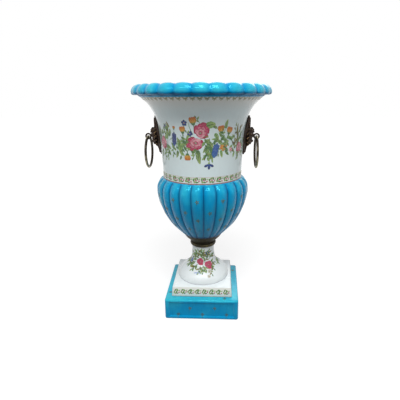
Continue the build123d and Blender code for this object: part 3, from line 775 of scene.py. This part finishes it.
buds = ((-6.6, 342.0, 13.5, -8), (-20.2, 328.5, 12.0, -6), (27.0, 329.0, 13.0, -12),
        (38.6, 326.5, 13.0, 14), (-15.3, 288.3, 12.0, 180), (-32.1, 331.5, 6.0, 5))
blooms = ((43.1, 297.3, 8.0, 5, 20, (blush, shell, pink), straw), (-47.5, 333.0, 7.0, 5, 20, dark_blue),
          (31.5, 302.8, 13.5, 6, 12, (yellow, orange, rust), rust), (-17.0, 339.5, 9.5, 5, 0, dark_blue),
          (-11.0, 323.7, 9.0, 5, 30, dark_blue))
bell_flowers = ((-33.1, 314.6, 20, 9.0, 4, dark_blue, 7),
                (20.2, 297.9, 21.5, 10.5, 14, ((0.05, 0.18, 0.42), blue, navy), 7))
hanging_flower, hanging_radius = (12.1, 276.6), 68.5
garland = new_painting()
for turn in (0, 180):
    for add, rows in ((add_spray, sprays), (add_rose, roses), (add_bud, buds), (add_bloom, blooms),
                      (add_bell_flower, bell_flowers)):
        for azimuth, height, *rest in rows:
            add(garland, bell_skin, (azimuth + turn, height), *rest)
    for azimuth, height, *rest in olive_sprays:
        add_spray(garland, bell_skin, (azimuth + turn, height), *rest, olives)
    for azimuth, height, long, wide, lean, bend in stems:
        add_daub(garland, bell_skin, (azimuth + turn, height), (long, wide), lean, shade_leaf, bend, -0.2)
    for azimuth, height, long, wide, lean in leaves:
        tones = (bright_leaf, light_leaf, shade_leaf)[round(height) % 3]
        add_leaf(garland, bell_skin, (azimuth + turn, height), (long, wide), lean, tones, 0.25 * sin(azimuth))
    for azimuth, height, long, wide, lean in olive_leaves:
        add_leaf(garland, bell_skin, (azimuth + turn, height), (long, wide), lean, dry_leaf, 0.2)
    add_rose(garland, low_rose_skin, (-6.4 + turn, low_rose), 26.5, 70, (0.10, 0.08))
    azimuth, height = hanging_flower
    for lean in (118, 180, 242):
        petal = off_spot((azimuth + turn, height), hanging_radius, 4.0, lean)
        add_daub(garland, bell_skin, petal, (8.5, 3.8), lean, dark_blue, 0, 0.3, 0.04, True)
    add_daub(garland, bell_skin, (azimuth + turn, height + 1.9), (4, 3), 0, spring_leaf, 0, 0, 0.14)
place_painting(garland, "painted_garland", enamel)

# Painted borders. A row of curled leaf sprigs with pink buds stands on the cream band at the
# bell's foot, and a smaller olive row hangs under the rim. Both are laid out with dividers.
low_sprigs, low_border, high_sprigs = 34, 251.0, 60
full_sprig = 7
high_tones = ((0.20, 0.19, 0.10), (0.40, 0.40, 0.24), (0.22, 0.20, 0.11))
high_leaves = ((-2.3, 375.2, 5.6, 2.3, -66), (2.3, 375.4, 5.6, 2.3, 64), (0.2, 373.0, 4.0, 1.8, 176),
               (-1.7, 373.8, 3.2, 1.5, -136), (2.0, 373.8, 3.2, 1.5, 140))


def add_curl(made, skin, azimuth, middle, shift, sway, leaves=full_sprig):
    """A sprig of a border: leaves that curl round a pink bud, with a stalk below them."""
    strokes = []
    for leaf in range(leaves):
        turn = 200 - 294 / leaves * leaf + 12 * sway
        reach = 3.3 + 0.5 * sin(leaf * 2.1 + 3 * sway)
        lean = 90 - turn - (36 if leaf % 2 else -26)
        side, rise = -reach * sin(radians(turn)), reach * cos(radians(turn))
        tones = (shade_leaf, light_leaf, young_leaf)[leaf % 3]
        strokes.append((side, rise, 5.0 - 0.5 * cos(leaf * 1.7), 2.3, lean, tones, 0.03 * (leaf % 2)))
    if leaves < full_sprig:
        strokes += [(0.8, 0.6, 7.4, 1.9, 14 + 10 * sway, shade_leaf, 0.05),
                    (2.6, 1.2, 4.6, 1.8, 52, light_leaf, 0.07),
                    (-1.6, -3.9, 2.2, 1.8, 0, (straw, blush, rust), 0.04)]
    else:
        strokes += [(0.4, 0.3, 2.9, 2.4, 30, berry, 0.06)]
    strokes += [(4.9, -1.6 + sway, 2.5, 2.1, 0, berry, 0.04), (3.2, -3.4, 4.6, 0.8, 64, shade_leaf, 0.0),
                (5.6, 1.9, 3.2, 1.5, 24, spring_leaf, 0.0)]
    for side, rise, long, wide, lean, tones, lift in strokes:
        add_daub(made, skin, (azimuth, middle + rise), (long, wide), lean, tones, 0.35, -0.25, lift,
                 shift=shift + side)


borders = new_painting()
for sprig in range(low_sprigs):
    add_curl(borders, bell_skin, 360 / low_sprigs * sprig + 5.2, low_border, 0.0, sin(sprig * 2.3))
for sprig in range(high_sprigs):
    azimuth = 360 / high_sprigs * sprig + 2.0
    for away, height, long, wide, lean in high_leaves:
        spot = (azimuth + degrees(away / bell_radius(height)), height)
        add_daub(borders, bell_skin, spot, (long, wide), lean, high_tones, 0.2, -0.2)
place_painting(borders, "painted_borders", enamel)

# Painting on the foot. A small bouquet lies over the stem and the base, front and back, and each
# side of the slab has a row of eight leaf sprigs above its brown line.
slab_sprigs, slab_step, slab_middle, slab_bite = 8, 12.4, 46.6, 0.05
stem_way = [0.0]
for start, stop in zip(stem_line, stem_line[1:]):
    stem_way.append(stem_way[-1] + dist(start, stop))
way_shares = [(height, way) for (radius, height), way in zip(stem_line, stem_way)]


def stem_skin(azimuth, way, side, lift):
    """A place so far up the skin of the base and stem, as on the bell; it stays off both their edges."""
    way = min(stem_way[-1] - 1.0, max(2.5, way))
    for (start, low), (stop, high), passed, reached in zip(stem_line, stem_line[1:], stem_way, stem_way[1:]):
        if way <= reached:
            break
    share = (way - passed) / (reached - passed)
    radius, height = start + (stop - start) * share, low + (high - low) * share
    slope = (stop - start) / (high - low)
    return turned_place(radians(front + azimuth) + side / radius, radius, height, slope, lift)


def side_place(azimuth, out, side, height):
    """A place by the flat side that an azimuth picks, so far out and so far from its middle."""
    turn = radians(front + azimuth)
    return Vector((out * cos(turn) - side * sin(turn), out * sin(turn) + side * cos(turn), height))


def slab_skin(azimuth, height, side, lift):
    """A place on a side of the slab."""
    slope = (slab_high[0] - slab_low[0]) / (slab_high[1] - slab_low[1])
    out = slab_low[0] - slab_bite + slope * (height - slab_low[1])
    return side_place(azimuth, out + lift, side, height)


foot_sprays = (
    (-16, 93.0, 14, -22, 6.5, 5, -3), (-4, 94.0, 12, 6, 6.5, 4, 3), (-24, 91.0, 12, -62, 6.5, 4, -4),
    (-52, 90.0, 19, -104, 7.0, 5, -4), (-60, 86.0, 14, -96, 7.0, 4, -2), (-20, 84.0, 13, -140, 6.5, 4, -3),
    (-32, 88.0, 12, -112, 6.0, 4, -4), (2, 84.0, 11, 184, 6.5, 4, 2), (34, 88.0, 9, 100, 6.5, 3, 8),
    (32, 82.0, 8, 150, 6.0, 3, 4), (18, 94.0, 11, 12, 6.0, 4, 3), (34, 92.0, 9, 42, 6.5, 3, 4),
    (7, 92.0, 8, -8, 5.5, 3, 0), (-72, 84.0, 16, -122, 6.0, 4, 6), (12, 82.0, 7, 172, 5.0, 3, 2),
    (-8, 82.0, 11, 196, 6.0, 4, -3), (42, 95.0, 7, 60, 5.5, 3, 3), (0, 97.0, 10, -12, 6.5, 4, 2),
    (-40, 97.0, 9, -46, 5.5, 3, -4), (25, 77.0, 9, 168, 4.5, 3, 2), (30, 98.0, 9, 18, 6.0, 3, -3),
    (-14, 100.0, 8, -26, 6.0, 3, 3), (-26, 83.0, 10, 200, 7.0, 4, 2), (46, 87.0, 9, 188, 6.5, 3, 3),
    (8, 87.0, 9, 28, 6.5, 3, 3), (-46, 86.0, 11, 216, 7.0, 4, 2), (6, 79.0, 7, 190, 6.0, 3, 3),
    (-34, 94.0, 9, -10, 6.5, 3, 3),
)
foot_roses = ((-10.5, 88.6, 12.0, 10, (0.02, -0.04), True), (26.1, 83.0, 14.0, 40, (-0.04, 0.06), True))
pale_bloom = ((0.50, 0.48, 0.38), (0.76, 0.74, 0.66), olive)
foot_blooms = ((25.0, 104.0, 8.5, 5, 12, dark_blue, yellow), (22.3, 75.0, 7.5, 5, 30, pale_bloom, olive),
               (17.7, 69.5, 6.5, 5, 30, pale_bloom, olive))
foot_bell_flowers = ((-59.1, 87.5, 10, 6.0, 20, (sky_blue, blue, navy), 5),)
foot_tones = (young_leaf, dry_leaf, shade_leaf, spring_leaf)
foot_paint = new_painting()
for turn in (0, 180):
    for azimuth, height, long, lean, leaf, count, bend in foot_sprays:
        spot = (azimuth + turn, read_shares(way_shares, height))
        add_spray(foot_paint, stem_skin, spot, 1.08 * long, lean, 1.3 * leaf, count, bend, foot_tones)
    for add, rows in ((add_rose, foot_roses), (add_bloom, foot_blooms), (add_bell_flower, foot_bell_flowers)):
        for azimuth, height, *rest in rows:
            add(foot_paint, stem_skin, (azimuth + turn, read_shares(way_shares, height)), *rest)
    for azimuth, lean in ((-18, 75), (-9, 105), (-13.6, 20)):
        add_daub(foot_paint, stem_skin, (azimuth + turn, read_shares(way_shares, 73.6)), (8, 1.7), lean,
                 (sky_blue, (0.46, 0.56, 0.72), blue), 0.8, -0.2, 0.02)
for turn in (0, 90, 180, 270):
    for sprig in range(slab_sprigs):
        shift = (sprig - 3.6) * slab_step
        add_curl(foot_paint, slab_skin, turn, slab_middle, shift, sin(sprig * 1.9 + turn), 5)
place_painting(foot_paint, "painted_foot", enamel)

# Gilding. Small sprigs in brown worn gold are scattered over the turquoise: one above another on the
# crests of the bowl's lobes, and staggered over each panel of the plinth.
bowl_sprig, plinth_sprig, deck_out, rub_waves = 7.0, 6.4, 56.6, 900
gold = ((0.30, 0.18, 0.05),) * 3
sprig_leaves = ((0, 0.30), (72, 0.28), (-72, 0.28), (144, 0.26), (-144, 0.26))
panel_sprigs = ((-20.0, 20.4), (23.0, 20.8), (-40.5, 8.6), (1.5, 8.6), (43.5, 8.6))
gilt, tree, shader = new_finish("worn_gilding", {"Specular IOR Level": 0.2})
rubbed = ramp(tree, noise_at(tree, on_piece(tree), rub_waves, 4.0, 0.6), 0.42, 0.62)
feed(tree, shader, {
    "Base Color": mix_colour(tree, rubbed, (0.125, 0.115, 0.042, 1), (0.012, 0.105, 0.130, 1)),
    "Metallic": ramp(tree, rubbed, 0.0, 1.0, 0.60, 0.10),
    "Roughness": ramp(tree, rubbed, 0.0, 1.0, 0.45, 0.60),
})


def bowl_skin(azimuth, height, side, lift):
    """A place on the crest of a lobe of the bowl, as on the bell."""
    for (start, low), (stop, high) in zip(bowl_line, bowl_line[1:]):
        if height <= high:
            break
    radius = start + (stop - start) * (height - low) / (high - low)
    turn = radians(front + azimuth) + side / radius
    share = lobe_share(degrees(turn), bowl_lobes, bowl_turn)
    slope = (stop - start) / max(0.1, high - low)
    return turned_place(turn, radius * (1 - groove_share * share**2), height, slope, lift)


def panel_skin(azimuth, height, side, lift):
    """A place on the panel of a side of the plinth, down its sloping lower edge too."""
    slope_out = ledge * held((panel_foot + ledge - height) / ledge)
    return side_place(azimuth, half - ledge + slope_out + lift, side, height)


def deck_skin(azimuth, height, side, lift):
    """A place on the top of the plinth, by one of its sides, between the slab and the edge."""
    return side_place(azimuth, deck_out - height, side, plinth_height + lift)


def add_sprig(skin, azimuth, height, shift, size, lean):
    """Five little gold leaves and a stalk round one spot."""
    for turn, reach in sprig_leaves:
        side, rise = reach * size * sin(radians(turn + lean)), reach * size * cos(radians(turn + lean))
        add_daub(gilding, skin, (azimuth, height + rise), (0.46 * size, 0.24 * size), turn + lean, gold,
                 0, 0.3, shift=shift + side)
    add_daub(gilding, skin, (azimuth, height - 0.62 * size), (0.42 * size, 0.09 * size), 8, gold, shift=shift)


gilding = new_painting()
for lobe in range(bowl_lobes):
    for height in ((199.2, 166.0) if lobe % 2 else (218.8, 185.2)):
        add_sprig(bowl_skin, 360 / bowl_lobes * lobe + bowl_turn - front, height, 0.0, bowl_sprig,
                  20 * sin(lobe + height))
for turn in (0, 90, 180, 270):
    for shift, height in panel_sprigs:
        add_sprig(panel_skin, turn, height, shift, plinth_sprig, 15 * sin(shift))
    add_sprig(deck_skin, turn, 0.0, 40.0, plinth_sprig, 0)
place_painting(gilding, "gilt_sprigs", gilt)

# Bronze. Every mount is cast and patinated brown: the patina stays dark in the hollows, rubs
# through to the yellow metal on what stands proud, and gathers grey dust where no hand reaches.
bronze_skin, given, cast_end = new_group(
    "cast_bronze",
    {"Metal": "Color", "Patina": "Color", "Worn": "Float"},
    {"Colour": "Color", "Roughness": "Float", "Metallic": "Float", "Normal": "Vector"},
)
dust_brown, grain_depth = (0.042, 0.033, 0.020, 1), 0.00012
blotch_waves, dust_waves, grain_waves = 160, 420, 1700
place = on_piece(bronze_skin)
blotch = noise_at(bronze_skin, place, blotch_waves, 4.0, 0.6)
patchy = reckon(bronze_skin, "MULTIPLY_ADD", blotch, 0.9, -0.45)
bare = ramp(bronze_skin, reckon(bronze_skin, "ADD", given["Worn"], patchy, clamp=True), 0.35, 0.85)
dusty = ramp(bronze_skin, noise_at(bronze_skin, place, dust_waves, 3.0), 0.4, 0.7)
dark = mix_colour(bronze_skin, dusty, given["Patina"], dust_brown)
grain = noise_at(bronze_skin, place, grain_waves, 3.0, 0.6)
relief = reckon(bronze_skin, "MULTIPLY_ADD", blotch, 2.0, grain)
feed(bronze_skin, cast_end, {
    "Colour": mix_colour(bronze_skin, bare, dark, given["Metal"]),
    "Roughness": ramp(bronze_skin, bare, 0.0, 1.0, 0.48, 0.26),
    "Metallic": ramp(bronze_skin, bare, 0.0, 1.0, 0.55, 1.0),
    "Normal": bump_of(bronze_skin, relief, grain_depth),
})


def bronze_finish(name, metal, patina, rubbed=0.0):
    """A finish from the bronze group, worn where the piece's own wear layer says so."""
    finish, tree, shader = new_finish(name, {"Specular IOR Level": 0.25})
    worn = reckon(tree, "ADD", layer_of(tree, "wear"), rubbed)
    use_group(tree, shader, bronze_skin, {"Metal": metal, "Patina": patina, "Worn": worn})
    return finish


# Collar. A turned bronze cup that holds the bowl's boss, with a plain bead round its neck where it
# sits over the stem. The bead stands proud, so it is rubbed to a golden brown.
bead_low, bead_high, cup_floor, collar_foot, lip_low, collar_steps = 115.4, 122.4, 123.0, 120.0, 138.6, 144
collar_bronze = bronze_finish("collar_bronze", (0.155, 0.125, 0.055, 1), (0.018, 0.015, 0.008, 1))
bead_line = smooth_line([(20.4, bead_low), (22.4, 116.4), (23.4, 119.0), (22.4, 121.6), (20.6, 122.6)], 6)
cup_line = smooth_line([(20.4, 123.1), (23.5, 125.99), (28.6, 130.14), (32.4, 134.45), (35.0, 139.0)], 6)
lip_line = [(34.9, 139.5), (33.6, 139.6), (33.0, 139.2)]
cup_inside = smooth_line([(33.0, 139.0), (30.4, 134.45), (26.6, 130.14), (21.5, 126.2), (18.4, 123.2)], 4)
collar_line = bead_line + cup_line + lip_line + cup_inside[1:]
collar_line += [(bolt_hole, cup_floor), (bolt_hole, collar_foot), (20.0, collar_foot), (20.0, bead_low)]
collar_bm = turn_line(collar_line, collar_steps)
wear_layer = collar_bm.verts.layers.float.new("wear")
for vert in collar_bm.verts:
    if vert.co.z < bead_high:
        vert[wear_layer] = 0.45 * held((vert.co.xy.length - 20.9) / 2.2)
    else:
        vert[wear_layer] = 0.42 if vert.co.z > lip_low else 0.05
collar = place_piece(collar_bm, "bronze_collar", "vase", [collar_bronze])
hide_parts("collar")

# Lion masks. Each is one casting: a pointed plate that follows the bell's wall, with a palmette of
# leaves on it, and on that a lion's head in two rings of mane locks. The jaws hold the eye bolt.
eye_level, wall_x, eye_x = 312.2, 71.127, 92.327
mask_foot, mask_height, plate_half, plate_gap, plate_edge = 281.0, 66.0, 17.0, 0.12, 0.8
bead_steps, bead_radius, leaf_steps, lock_steps, tufts = 60, 0.95, 9, 4, 5
socket_radius, socket_half, cast_grain = 6.3, 2.2, 0.42
handles = (("right", 0), ("left", 180))
mask_bronze = bronze_finish("mask_bronze", (0.30, 0.190, 0.085, 1), (0.026, 0.012, 0.010, 1))
plate_shares = [(0.0, 0.0), (0.13, 0.42), (0.33, 0.88), (0.52, 1.0), (0.72, 0.78), (0.9, 0.3), (1.0, 0.0)]
relief_shares = [(0.0, 0.11), (0.22, 0.43), (0.37, 0.8), (0.5, 1.0), (1.0, 1.0)]
palmette = (  # up or down, side, reach, lean, width
    (1, 0, 30.5, 0, 2.7), (1, -1, 26.0, 23, 2.4), (1, 1, 26.0, 23, 2.4), (1, -1, 20.5, 46, 2.2),
    (1, 1, 20.5, 46, 2.2), (-1, 0, 27.5, 0, 2.4), (-1, -1, 22.0, 21, 2.1), (-1, 1, 22.0, 21, 2.1),
)
mane = ((14, 13.9, 6.9, 20), (12, 11.2, 9.8, -18), (9, 8.7, 12.0, 12))  # locks, reach, out, swirl
face_pairs = (  # brow, eye, lids, cheek, muzzle, jaw, ear and its hollow, nostril: (place, sizes, tilt)
    ((11.6, 4.6, 11.2), (3.6, 3.6, 1.7), -14), ((12.9, 4.4, 8.9), (1.7, 1.9, 1.45), 0),
    ((12.7, 4.5, 10.3), (2.3, 2.7, 0.75), -10), ((12.6, 4.6, 7.4), (2.2, 2.5, 0.7), 8),
    ((9.6, 7.4, 3.2), (4.4, 3.8, 4.8), 0), ((12.4, 4.9, 3.1), (4.3, 3.0, 3.5), 12),
    ((10.6, 5.2, -3.0), (3.4, 2.4, 4.4), -16), ((7.6, 9.8, 12.0), (2.4, 2.3, 2.9), -28),
    ((9.0, 9.9, 12.2), (1.5, 1.1, 1.7), -28), ((15.9, 1.5, 6.6), (1.4, 1.15, 1.0), 0),
)
face_middle = (  # forehead, bridge and tip of the nose, chin and lower lip
    ((12.6, 0, 12.4), (3.0, 2.3, 3.4), 20), ((14.2, 0, 9.8), (3.0, 1.75, 3.7), 25),
    ((15.6, 0, 7.4), (2.4, 2.0, 1.7), 0), ((11.6, 0, -8.4), (4.6, 4.2, 2.9), -18),
    ((13.2, 0, -7.2), (3.0, 3.3, 1.5), -10),
)


def wall_at(across, height):
    """How far out the bell's skin is at a place beside the handle's middle line."""
    return sqrt(bell_radius(height)**2 - across**2)


def add_lump(made, spot, sizes, tilt=(0, 0, 0), levels=2):
    """A lump of wax on the model: an ellipsoid at (out, across, up) from the wall at the eye."""
    shape = Matrix.Translation((wall_x + spot[0], spot[1], eye_level + spot[2]))
    for turn, axis in zip(tilt, "XYZ"):
        shape = shape @ Matrix.Rotation(radians(turn), 4, axis)
    shape = shape @ Matrix.Diagonal((*sizes, 1))
    bmesh.ops.create_icosphere(made, subdivisions=levels, radius=1.0, matrix=shape)


plate_outline = smooth_line(plate_shares, 6)


def plate_at(across, height):
    """How far out the front of the plate is beside its middle line at a height."""
    up = (height - mask_foot) / mask_height
    share = min(1.0, abs(across) / max(0.3, read_shares(plate_outline, up) * plate_half))
    depth = max(1.1, wall_x + read_shares(relief_shares, up) * 10.0 - wall_at(0, height))
    return wall_at(across, height) + 1.0 + (depth - 1.0) * (1 - 0.8 * share**2.4) * 0.82


wax = bmesh.new()
for vert in bmesh.ops.create_grid(wax, x_segments=18, y_segments=44, size=1.0)["verts"]:
    up = (vert.co.y + 1) / 2
    across = vert.co.x * max(0.02, read_shares(plate_outline, up)) * plate_half
    height = mask_foot + up * mask_height
    vert.co = (plate_at(across, height), across, height)
back = bmesh.ops.extrude_face_region(wax, geom=wax.faces[:])["geom"]
for vert in [item for item in back if isinstance(item, bmesh.types.BMVert)]:
    vert.co.x = wall_at(vert.co.y, vert.co.z) + plate_gap
for step in range(bead_steps + 1):
    up = step / bead_steps
    for side in (-1, 1):
        across = side * read_shares(plate_outline, up) * (plate_half - plate_edge)
        height = mask_foot + plate_edge + up * (mask_height - 2 * plate_edge)
        out = wall_at(across, height) + 1.5 - wall_x
        add_lump(wax, (out, across, height - eye_level), (bead_radius, bead_radius, bead_radius), levels=1)
for upward, side, reach, lean, size in palmette:
    for step in range(leaf_steps + 1):
        share = step / leaf_steps
        along = 11.0 + (reach - 12.0) * share
        across = side * along * sin(radians(lean)) * (1 - 0.22 * share)
        rise = upward * along * cos(radians(lean))
        wide = size * sin(pi * (0.30 + 0.66 * share))
        ridge = plate_at(across, eye_level + rise) - wall_x
        add_lump(wax, (ridge + 0.7, across, rise), (1.5, wide, 2.0), (-upward * side * lean, 0, 0), levels=1)
add_lump(wax, (7.0, 0, 0.5), (7.5, 12.5, 12.5), levels=3)
for ring, (locks, reach, out, swirl) in enumerate(mane):
    for lock in range(locks):
        turn = 360 / locks * (lock + 0.5 * (ring % 2)) + 90
        if ring == 2 and not 8 < turn % 360 < 172:
            continue
        for step in range(lock_steps + 1):
            share = step / lock_steps
            angle = radians(turn + swirl * share)
            radial = reach - 2.6 + 4.6 * share
            spot = (out + 1.1 * sin(pi * share) - 2.2 * share**2, radial * cos(angle), radial * sin(angle))
            sizes = (2.0 - 0.5 * share, 2.1, 1.95 * (1 - 0.5 * share**2))
            add_lump(wax, spot, sizes, (turn + swirl * share * 1.6, 0, 0))
for side in (-1, 1):
    for (out, across, up), sizes, tilt in face_pairs:
        add_lump(wax, (out, side * across, up), sizes, (side * tilt, 0, 0))
for spot, sizes, tilt in face_middle:
    add_lump(wax, spot, sizes, (0, tilt, 0))
for tuft in range(tufts):
    across = (tuft - tufts // 2) * 2.0
    add_lump(wax, (10.2, across, -11.4 - 0.5 * cos(across)), (2.4, 1.0, 2.6), (across * 4, -24, 0), levels=1)

rough = bpy.data.objects.new("rough_mask", bpy.data.meshes.new("rough_mask"))
wax.to_mesh(rough.data)
wax.free()
scene.collection.objects.link(rough)
remesh = rough.modifiers.new("cast", "REMESH")
remesh.mode, remesh.voxel_size = "VOXEL", cast_grain
smooth = rough.modifiers.new("polish", "SMOOTH")
smooth.factor, smooth.iterations = 0.5, 2
cast = bpy.data.meshes.new_from_object(rough.evaluated_get(bpy.context.evaluated_depsgraph_get()))
bpy.data.objects.remove(rough)


def wear_of(made, passes=10, gain=2.1):
    """Gives each vertex its wear: high where the skin stands out from the skin round it."""
    layer = made.verts.layers.float.new("wear")
    spots = {vert: vert.co.copy() for vert in made.verts}
    for _ in range(passes):
        spots = {vert: sum((spots[edge.other_vert(vert)] for edge in vert.link_edges), spots[vert])
                 / (len(vert.link_edges) + 1) for vert in made.verts}
    for vert in made.verts:
        vert[layer] = held((vert.co - spots[vert]).dot(vert.normal) * gain)


def turn_round(made, turn):
    """Turns what is made for the right handle to the side that it is for."""
    bmesh.ops.rotate(made, cent=(0, 0, 0), matrix=Matrix.Rotation(radians(turn), 3, "Z"), verts=made.verts)


for side, turn in handles:
    mask_bm = bmesh.new()
    mask_bm.from_mesh(cast)
    bmesh.ops.remove_doubles(mask_bm, verts=mask_bm.verts, dist=touch)
    for vert in mask_bm.verts:
        out, up = vert.co.x - eye_x, vert.co.z - eye_level
        if abs(vert.co.y) < socket_half and out > -8 and out**2 + up**2 < socket_radius**2:
            vert.co.x = eye_x - sqrt(socket_radius**2 - up**2)
    turn_round(mask_bm, turn)
    mask_bm.normal_update()
    wear_of(mask_bm)
    mask = place_piece(mask_bm, f"lion_mask_{side}", "vase", [mask_bronze], sharp=180)
    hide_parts(f"mask_{side}")

# Eye bolts and rings. A round eye on a threaded shank goes through each mask and the wall, and a
# plain round ring of thicker wire hangs loose in it. Both are cast, filed round and left to brown.
eye_bronze = bronze_finish("eye_bronze", (0.33, 0.225, 0.10, 1), (0.036, 0.022, 0.018, 1), 0.05)
ring_bronze = bronze_finish("ring_bronze", (0.30, 0.265, 0.17, 1), (0.047, 0.036, 0.028, 1), 0.12)
eye_radius, eye_wire, ring_radius, ring_wire, play = 4.2, 1.4, 26.2, 2.15, 0.15
ring_pivot = eye_level - eye_radius + eye_wire + play + ring_wire
gasket, washer, nut, tail = 1.5, 1.0, 3.2, 1.5
shank_end = wall_x - wall - gasket - washer - nut - tail
shank_neck = eye_x - eye_radius
threads, thread_pitch, thread_root, thread_crest = 22, 0.8, 1.72, 2.0
shank = [(0.0, shank_end), (1.4, shank_end), (1.95, shank_end + 0.6)]
for thread in range(threads):
    start = shank_end + 0.8 + thread * thread_pitch
    shank += [(thread_root, start), (thread_crest, start + thread_pitch / 2)]
shank += [(2.0, wall_x + 4.0), (1.9, shank_neck - 3.2), (1.7, shank_neck - 1.4), (2.0, shank_neck - 0.2),
          (0.0, shank_neck)]


def add_loop(made, middle, axis, reach, wire, steps, sides):
    """A closed loop of round wire about an axis."""
    up, across = Vector((0, 0, 1)), Vector(axis)
    section = []
    for side in range(sides):
        turn = tau * side / sides
        section.append(Vector(middle) + up * (reach + wire * cos(turn)) + across * (wire * sin(turn)))
    spin_line(made, section, steps, middle, axis)


for side, turn in handles:
    eye_bm = bmesh.new()
    add_loop(eye_bm, (eye_x, 0, eye_level), (0, 1, 0), eye_radius, eye_wire, 56, 16)
    rod = [(along, 0, eye_level + reach) for reach, along in shank]
    spin_line(eye_bm, rod, 24, (0, 0, eye_level), (1, 0, 0), closed=False)
    close_skin(eye_bm)
    wear_layer = eye_bm.verts.layers.float.new("wear")
    for vert in eye_bm.verts:
        away = dist((vert.co.x, vert.co.z), (eye_x, eye_level)) - eye_radius
        vert[wear_layer] = 0.5 * max(0.0, away) / eye_wire if vert.co.x > eye_x - 6 else 0.1
    turn_round(eye_bm, turn)
    eye = place_piece(eye_bm, f"eye_and_shank_{side}", "vase", [eye_bronze], sharp=40)
    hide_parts(f"eye_bolt_{side}")

    ring_bm = bmesh.new()
    centre = Vector((eye_x, 0, ring_pivot - ring_radius))
    add_loop(ring_bm, centre, (1, 0, 0), ring_radius, ring_wire, 144, 20)
    close_skin(ring_bm)
    wear_layer = ring_bm.verts.layers.float.new("wear")
    for vert in ring_bm.verts:
        from_middle = vert.co - centre
        dent = noise.noise(vert.co * 0.12 + Vector((0, 0, 7.3 * (turn > 0))))
        reach = Vector((0, from_middle.y, from_middle.z)).normalized() * ring_radius
        skin = from_middle - reach
        vert.co = centre + reach + skin * (1 - 0.05 * abs(dent))
        in_eye, outside = from_middle.z > ring_radius * 0.92, skin.dot(reach) > 0
        low_painted_shade_and_wear = max(0.0, -from_middle.z / ring_radius) * outside
        vert[wear_layer] = min(1.0, 0.28 + 0.5 * low_painted_shade_and_wear + 0.5 * in_eye)
    turn_round(ring_bm, turn)
    ring = place_piece(ring_bm, f"hanging_ring_{side}", f"{side}_ring", [ring_bronze], sharp=60)
    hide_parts(f"ring_{side}")

# Fittings out of sight. A steel tie rod with nuts and washers pulls bowl, collar, foot and plinth
# together, leather gaskets keep metal off the glaze, and bronze nuts hold the eye bolts inside.
line_waves, stain_waves, pore_waves, tone_waves = 2600, 140, 1400, 300
line_depth, pore_depth = 0.00005, 0.0001
steel, tree, shader = new_finish("drawn_steel", {"Metallic": 1.0})
lines = noise_at(tree, on_piece(tree, (1.0, 1.0, 0.12)), line_waves, 3.0)
stain = ramp(tree, noise_at(tree, on_piece(tree), stain_waves, 4.0), 0.5, 0.72)
feed(tree, shader, {
    "Base Color": mix_colour(tree, stain, (0.42, 0.43, 0.44, 1), (0.24, 0.17, 0.12, 1)),
    "Roughness": ramp(tree, lines, 0.3, 0.7, 0.28, 0.46),
    "Normal": bump_of(tree, lines, line_depth, 0.5),
})
leather, tree, shader = new_finish("gasket_leather", {})
place = on_piece(tree)
pores = add_node(tree, "TexVoronoi", {"Vector": place, "Scale": pore_waves}, feature="DISTANCE_TO_EDGE")
tone = noise_at(tree, place, tone_waves, 4.0)
feed(tree, shader, {
    "Base Color": mix_colour(tree, tone, (0.17, 0.085, 0.038, 1), (0.33, 0.19, 0.095, 1)),
    "Roughness": ramp(tree, tone, 0.2, 0.8, 0.62, 0.85),
    "Normal": bump_of(tree, ramp(tree, pores.outputs["Distance"], 0.0, 0.25), pore_depth, 0.6),
})
nut_bronze = bronze_finish("nut_bronze", (0.36, 0.22, 0.08, 1), (0.045, 0.030, 0.016, 1), 0.25)
for name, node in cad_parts.items():
    if node.hide_render:
        continue
    finish = leather if "gasket" in name else nut_bronze if name.startswith("bolt_") else steel
    for material_slot in node.material_slots:
        material_slot.material = finish
